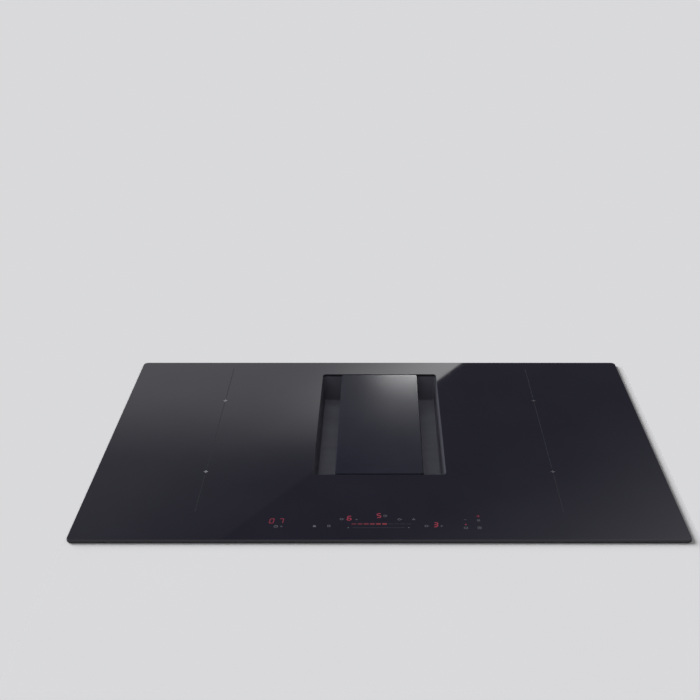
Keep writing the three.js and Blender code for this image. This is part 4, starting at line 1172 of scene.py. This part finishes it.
# Generic symbols about the origin, two units across.
LINE = 0.32
BLADES = [math.pi / 2 + 2 * math.pi * i / 3 for i in range(3)]
GLYPHS = {
    "plus": [bar(0, 0, 1, LINE), stroke(0, -1, 0, 1, LINE)],
    "minus": [bar(0, 0, 1, LINE)],
    "bars": [bar(0, y, 1, LINE) for y in (-0.7, 0, 0.7)],
    "pause": [stroke(x, -1, x, 1, 1.4 * LINE) for x in (-0.5, 0.5)],
    "clock": [*arc(0, 0, 1, LINE), stroke(0, 0, 0, 0.6, LINE), stroke(0, 0, 0.45, 0, LINE)],
    "power": [*arc(0, 0, 1, LINE, 120, 420), stroke(0, 0, 0, 1.1, LINE)],
    "lock": [bar(0, -0.35, 0.8, 1.2), *arc(0, 0.1, 0.5, LINE, 0, 180, 8)],
    "fan": [disc(0.6 * math.cos(a), 0.6 * math.sin(a), 0.42, 10) for a in BLADES],
    "pan": [*arc(-0.2, 0, 0.75, LINE), stroke(0.55, 0, 1.3, 0, LINE)],
    "left": [[(-1, 0), (0.6, -0.8), (0.6, 0.8)]],
    "right": [[(1, 0), (-0.6, 0.8), (-0.6, -0.8)]],
    "dot": [disc(0, 0, 0.6)],
}
# Each symbol's kind, place and size.
PALE_SYMBOLS = (
    ("clock", -139.5, -226, 5), ("bars", -132, -226, 3),
    ("pause", -68, -225, 5),
    ("pan", -51, -209.5, 5), ("plus", -31, -210.5, 3.6),
    ("left", -41.8, -228.8, 3), ("right", 39.8, -228.8, 3),
    ("clock", 8.1, -202, 4.4), ("pan", 27.7, -210, 5), ("fan", 46.8, -210, 4.6),
    ("pan", 64, -225.2, 5), ("plus", 84.2, -225.2, 4),
    ("minus", 117, -210.5, 3.4), ("power", 116.7, -229.2, 4.8),
    ("bars", 135, -212.4, 4.4), ("clock", 135, -229.2, 4.8),
)
BRIGHT_SYMBOLS = (("lock", -87.5, -225, 5),)
RED_SYMBOLS = (("plus", 135.4, -202.6, 5.4), ("dot", 116.9, -221.6, 4.2))


def symbols(name, entries, lamp):
    """The symbols of one lamp, as one piece."""
    outlines = []
    for kind, x, y, size in entries:
        half = size / 2
        outlines += [[(x + half * px, y + half * py) for px, py in part] for part in GLYPHS[kind]]
    flat_shape(name, outlines, lamp)


def controls():
    """The timer's and the zones' digits, and the symbols between them."""
    lit_digits("timer_digits", (("0", -149.2, -218.6, 10), ("7", -136.4, -218.4, 10)), lamp_red, 0.14)
    levels = (("6", -43.8, -212, 9.4), ("5", -3.4, -206, 9.4), ("3", 73.4, -227, 9.4))
    lit_digits("zone_digits", levels, lamp_level, 0.17)
    symbols("pale_symbols", PALE_SYMBOLS, lamp_pale)
    symbols("bright_symbols", BRIGHT_SYMBOLS, lamp_bright)
    symbols("lit_symbols", RED_SYMBOLS, lamp_red)


SLIDER_LIT = 6
SLIDER_STEPS = 10
SLIDER_RED = srgb(255, 101, 105)


def slider():
    """The power slider: its lit steps grow brighter to the right, and the rest are thin dashes."""
    first = -34.3
    pitch = 8.3
    half = 3.2
    level = -220.4
    line_level = -228.8
    places = [first + i * pitch for i in range(SLIDER_STEPS)]
    for i, x in enumerate(places[:SLIDER_LIT]):
        lamp = lit(f"slider_lamp_{i + 1}", SLIDER_RED, 0.08 + 0.026 * i)
        flat_shape(f"slider_lit_{i + 1}", [bar(x, level, half, 3.2)], lamp)
    flat_shape("slider_rest", [bar(x, level, half, 0.8) for x in places[SLIDER_LIT:]], lamp_faint)
    flat_shape("slider_line", [stroke(-36, line_level, 34, line_level, 0.7)], lamp_faint)


zone_marks("left", -ZONE_X, print_pale)
# The right side's crosses take the pale ink painted darker, as painted shade.
zone_marks("right", ZONE_X, print_painted_shade)
controls()
slider()

# ---- Stage ---------------------------------------------------------------------------------

FLOOR_COLOR = srgb(217, 217, 219)
SEAL_PRESSED = 0.5 * MM
WORKTOP_LEVEL = glass_low.z - SEAL_PRESSED
CUT_OUT_WIDTH = 805 * MM
CUT_OUT_DEPTH = 491 * MM
CUT_OUT_CORNER = 4 * MM
WORKTOP_FRONT = 265 * MM
WORKTOP_SHADOW = 13 * MM
WORKTOP_MARGIN = 4 * MM


def floor_material():
    """Plain matt paint on the upper side, clear from below."""
    made = Material("worktop_paint", FLOOR_COLOR, 0.9, gloss=0)
    pale, dark = scaled(FLOOR_COLOR, 1.004), scaled(FLOOR_COLOR, 0.996)
    made.tones(made.noise(6, 3), dark, pale)
    below = made.node("NewGeometry").outputs["Backfacing"]
    shown = made.mix(below, made.shader, made.node("BsdfTransparent"))
    feed(made.nodes["Material Output"].inputs["Surface"], shown)
    return made.owner


def worktop():
    """The pale surface that the hob is let into, seen from above only.

    In front it reaches as far as it must to hide what hangs below it; elsewhere it ends where
    the hob's shadow does, so the body shows from the sides and the back.
    """
    left = glass_low.x - WORKTOP_MARGIN
    right = glass_high.x + WORKTOP_SHADOW
    front = glass_low.y - WORKTOP_FRONT
    back = glass_high.y + WORKTOP_MARGIN
    middle_x, middle_y = (left + right) / 2, (front + back) / 2
    level = WORKTOP_LEVEL
    outer = rounded_loop(right - left, back - front, ARRIS, middle_x, middle_y, level, 2)
    inner = rounded_loop(CUT_OUT_WIDTH, CUT_OUT_DEPTH, CUT_OUT_CORNER, 0, 0, level, 2)
    bm = bmesh.new()
    add_band(bm, *([bm.verts.new(point) for point in loop] for loop in (outer, inner)))
    made = add_object("worktop", bm, floor_material(), closed=False)
    made.visible_shadow = False


# The board behind the hob. Its light is 1 where it is as bright as white paint.
REFLECTOR_Y = 1.5
REFLECTOR_HALF = 1.6
REFLECTOR_FADE = 1.15
REFLECTOR_LOW, REFLECTOR_FULL_LOW = 0.55, 0.72
REFLECTOR_FULL_HIGH, REFLECTOR_HIGH = 1.6, 1.95
EDGE_X, EDGE_Z = 0.255, 0.858
EDGE_ACROSS_X, EDGE_ACROSS_Z = 0.6463, 0.7631
EDGE_START, EDGE_END = -0.003, 0.004
LEFT_LIGHT, LOW_LIGHT, EDGE_LIGHT = 0.22, 0.36, 1.42
TOP_SHARE = 0.45
RIGHT_LIGHT, CORNER_LIGHT = 0.06, 0.44


def past_edge(tree, x, z):
    """How far a place lies to the upper right of the slanting edge."""
    along_x = tree.run("MULTIPLY", tree.run("SUBTRACT", x, EDGE_X), EDGE_ACROSS_X)
    along_z = tree.run("MULTIPLY", tree.run("SUBTRACT", z, EDGE_Z), EDGE_ACROSS_Z)
    return tree.run("ADD", along_x, along_z)


def left_light(tree, across, z):
    """Light left of the edge: more of it low down and close to the edge, and less at the top."""
    plain = tree.run("ADD", tree.smooth(z, 0.94, 1.24, start=LOW_LIGHT, end=0), LEFT_LIGHT)
    beside_edge = tree.run("POWER", tree.smooth(across, -0.48, 0, start=0, end=1), 3)
    near_foot = tree.run("POWER", tree.smooth(z, 0.86, 1.2, start=1, end=0), 1.2)
    glow = tree.run("MULTIPLY", beside_edge, near_foot, EDGE_LIGHT)
    top = tree.smooth(across, -0.45, 0.02, start=1, end=TOP_SHARE)
    dimmed = tree.smooth(z, 1.1, 1.3, start=1, end=top)
    return tree.run("MULTIPLY", tree.run("ADD", plain, glow), dimmed)


def right_light(tree, x, z):
    """Light right of the edge: hardly any, but for the upper right corner."""
    slope_x = tree.run("DIVIDE", tree.run("SUBTRACT", x, 0.45), 1.3)
    slope_z = tree.run("DIVIDE", tree.run("SUBTRACT", z, 1.1), 0.9)
    rise = tree.run("MAXIMUM", tree.run("ADD", slope_x, slope_z), 0)
    corner = tree.run("MULTIPLY", tree.run("POWER", rise, 2), CORNER_LIGHT)
    return tree.run("ADD", corner, RIGHT_LIGHT)


def reflector_cover(tree, x, z):
    """How solid the board is at a place: it fades out towards its four sides."""
    beside = tree.smooth(tree.run("ABSOLUTE", x, 0), REFLECTOR_FADE, REFLECTOR_HALF, 1, 0)
    above = tree.smooth(z, REFLECTOR_FULL_HIGH, REFLECTOR_HIGH, 1, 0)
    below = tree.smooth(z, REFLECTOR_LOW, REFLECTOR_FULL_LOW, 0, 1)
    return tree.run("MULTIPLY", beside, above, below)


def reflector_material():
    """Light without a shaded face, of the board's own level and cover."""
    tree = Tree(bpy.data.materials.new("reflector_light"))
    parts = tree.node("SeparateXYZ")
    feed(parts.inputs[0], tree.node("TexCoord").outputs["Object"])
    x, z = parts.outputs["X"], parts.outputs["Z"]
    across = past_edge(tree, x, z)
    left, right = left_light(tree, across, z), right_light(tree, x, z)
    level = tree.smooth(across, EDGE_START, EDGE_END, left, right)
    light = tree.node("Emission", strength=level)
    shown = tree.mix(reflector_cover(tree, x, z), tree.node("BsdfTransparent"), light)
    feed(tree.nodes["Material Output"].inputs["Surface"], shown)
    return tree.owner


def reflector():
    """A large board behind the hob that only gloss shows."""
    bm = bmesh.new()
    low, high, half = REFLECTOR_LOW, REFLECTOR_HIGH, REFLECTOR_HALF
    corners = [(-half, low), (half, low), (half, high), (-half, high)]
    bm.faces.new([bm.verts.new((x, REFLECTOR_Y, z)) for x, z in corners])
    made = add_object("reflector", bm, reflector_material(), closed=False)
    made.visible_camera = False
    made.visible_diffuse = False
    made.visible_transmission = False
    made.visible_shadow = False
    made.visible_volume_scatter = False


worktop()
reflector()

# ---- Light and camera ----------------------------------------------------------------------

SKY_SHARE = 0.3
SUN_TO = Vector((-1.8, 1.4, 1.0)).normalized()
SUN_LEVEL = (1 - SKY_SHARE) / SUN_TO.z
SUN_SPREAD = 34
SLOT_SUN_SHARE = 0.35
COVER_LAMP_PLACE = Vector((0.12, 1.49, 0.81))
COVER_LAMP_WIDTH = 0.284
COVER_LAMP_HEIGHT = 0.084
COVER_LAMP_POWER = 4.9


def add_lamp(name, lamp, towards):
    """A lamp in the scene that lights from a direction."""
    made = bpy.data.objects.new(name, lamp)
    made.rotation_euler = Vector(towards).to_track_quat("Z", "Y").to_euler()
    bpy.context.scene.collection.objects.link(made)
    return made


def soft_lamp(name, towards, level, spread):
    """A far, wide lamp: level is what a pale face turned to it gets, and spread is in degrees."""
    lamp = bpy.data.lights.new(name, "SUN")
    lamp.energy = level * math.pi
    lamp.angle = math.radians(spread)
    made = add_lamp(name, lamp, towards)
    made.visible_glossy = False
    return made


def cover_lamp():
    """A small lamp behind the hob that only the satin cover's gloss picks up, as a soft glow."""
    lamp = bpy.data.lights.new("cover_glow", "AREA")
    lamp.shape = "ELLIPSE"
    lamp.size = COVER_LAMP_WIDTH
    lamp.size_y = COVER_LAMP_HEIGHT
    lamp.energy = COVER_LAMP_POWER
    made = add_lamp("cover_glow", lamp, (0, 1, 0))
    made.location = COVER_LAMP_PLACE
    made.visible_diffuse = False
    made.visible_camera = False
    return made


def light_only(lamp, pieces, state="INCLUDE"):
    """Let a lamp light these pieces and no others, or with EXCLUDE all but these."""
    receivers = bpy.data.collections.new(lamp.name + "_receivers")
    for piece in pieces:
        receivers.objects.link(piece)
    for linked in receivers.collection_objects:
        linked.light_linking.link_state = state
    lamp.light_linking.receiver_collection = receivers


def lamps():
    """The sun, a weaker one for the slots, and fills that keep slots and body at a plain level."""
    light_only(soft_lamp("sun", SUN_TO, SUN_LEVEL, SUN_SPREAD), [basin], "EXCLUDE")
    light_only(soft_lamp("slot_sun", SUN_TO, SLOT_SUN_SHARE * SUN_LEVEL, SUN_SPREAD), [basin])
    light_only(soft_lamp("slot_fill", (-0.35, -0.15, 1), level=0.56, spread=80), [basin])
    light_only(soft_lamp("front_fill", (0.9, -1.2, 0.4), level=0.5, spread=70), body_pieces)
    light_only(soft_lamp("low_fill", (-0.3, -0.6, -1.0), level=0.4, spread=90), body_pieces)
    light_only(cover_lamp(), [cover])


def world():
    """An even sky that lights, and the floor's own colour wherever the surroundings are seen."""
    tree = Tree(bpy.data.worlds.new("studio"))
    bpy.context.scene.world = tree.owner
    sky = tree.node("Background", color=(1, 1, 1, 1), strength=SKY_SHARE)
    seen = tree.node("Background", color=FLOOR_COLOR)
    path = tree.node("LightPath")
    rays = [path.outputs[name] for name in ("Is Camera Ray", "Is Glossy Ray", "Is Transmission Ray")]
    shown = tree.mix(tree.run("MINIMUM", tree.run("ADD", *rays), 1), sky, seen)
    feed(tree.nodes["World Output"].inputs["Surface"], shown)


CAMERA_PLACE = Vector((0.0012, -1.3675, 1.0539))
CAMERA_PITCH = 26.47
CAMERA_LENS = 53.16
CAMERA_FILM = 36
CAMERA_SHIFT = -0.0431
FAR = 100


def camera():
    """A camera in front of the hob that looks down at it, with its lens shifted sideways."""
    lens = bpy.data.cameras.new("camera")
    lens.lens = CAMERA_LENS
    lens.sensor_width = CAMERA_FILM
    lens.shift_x = CAMERA_SHIFT
    lens.clip_end = FAR
    made = bpy.data.objects.new("camera", lens)
    made.location = CAMERA_PLACE
    made.rotation_euler = (math.radians(90 - CAMERA_PITCH), 0, 0)
    bpy.context.scene.collection.objects.link(made)
    bpy.context.scene.camera = made


lamps()
world()
camera()
bpy.context.scene.view_settings.view_transform = "Standard"
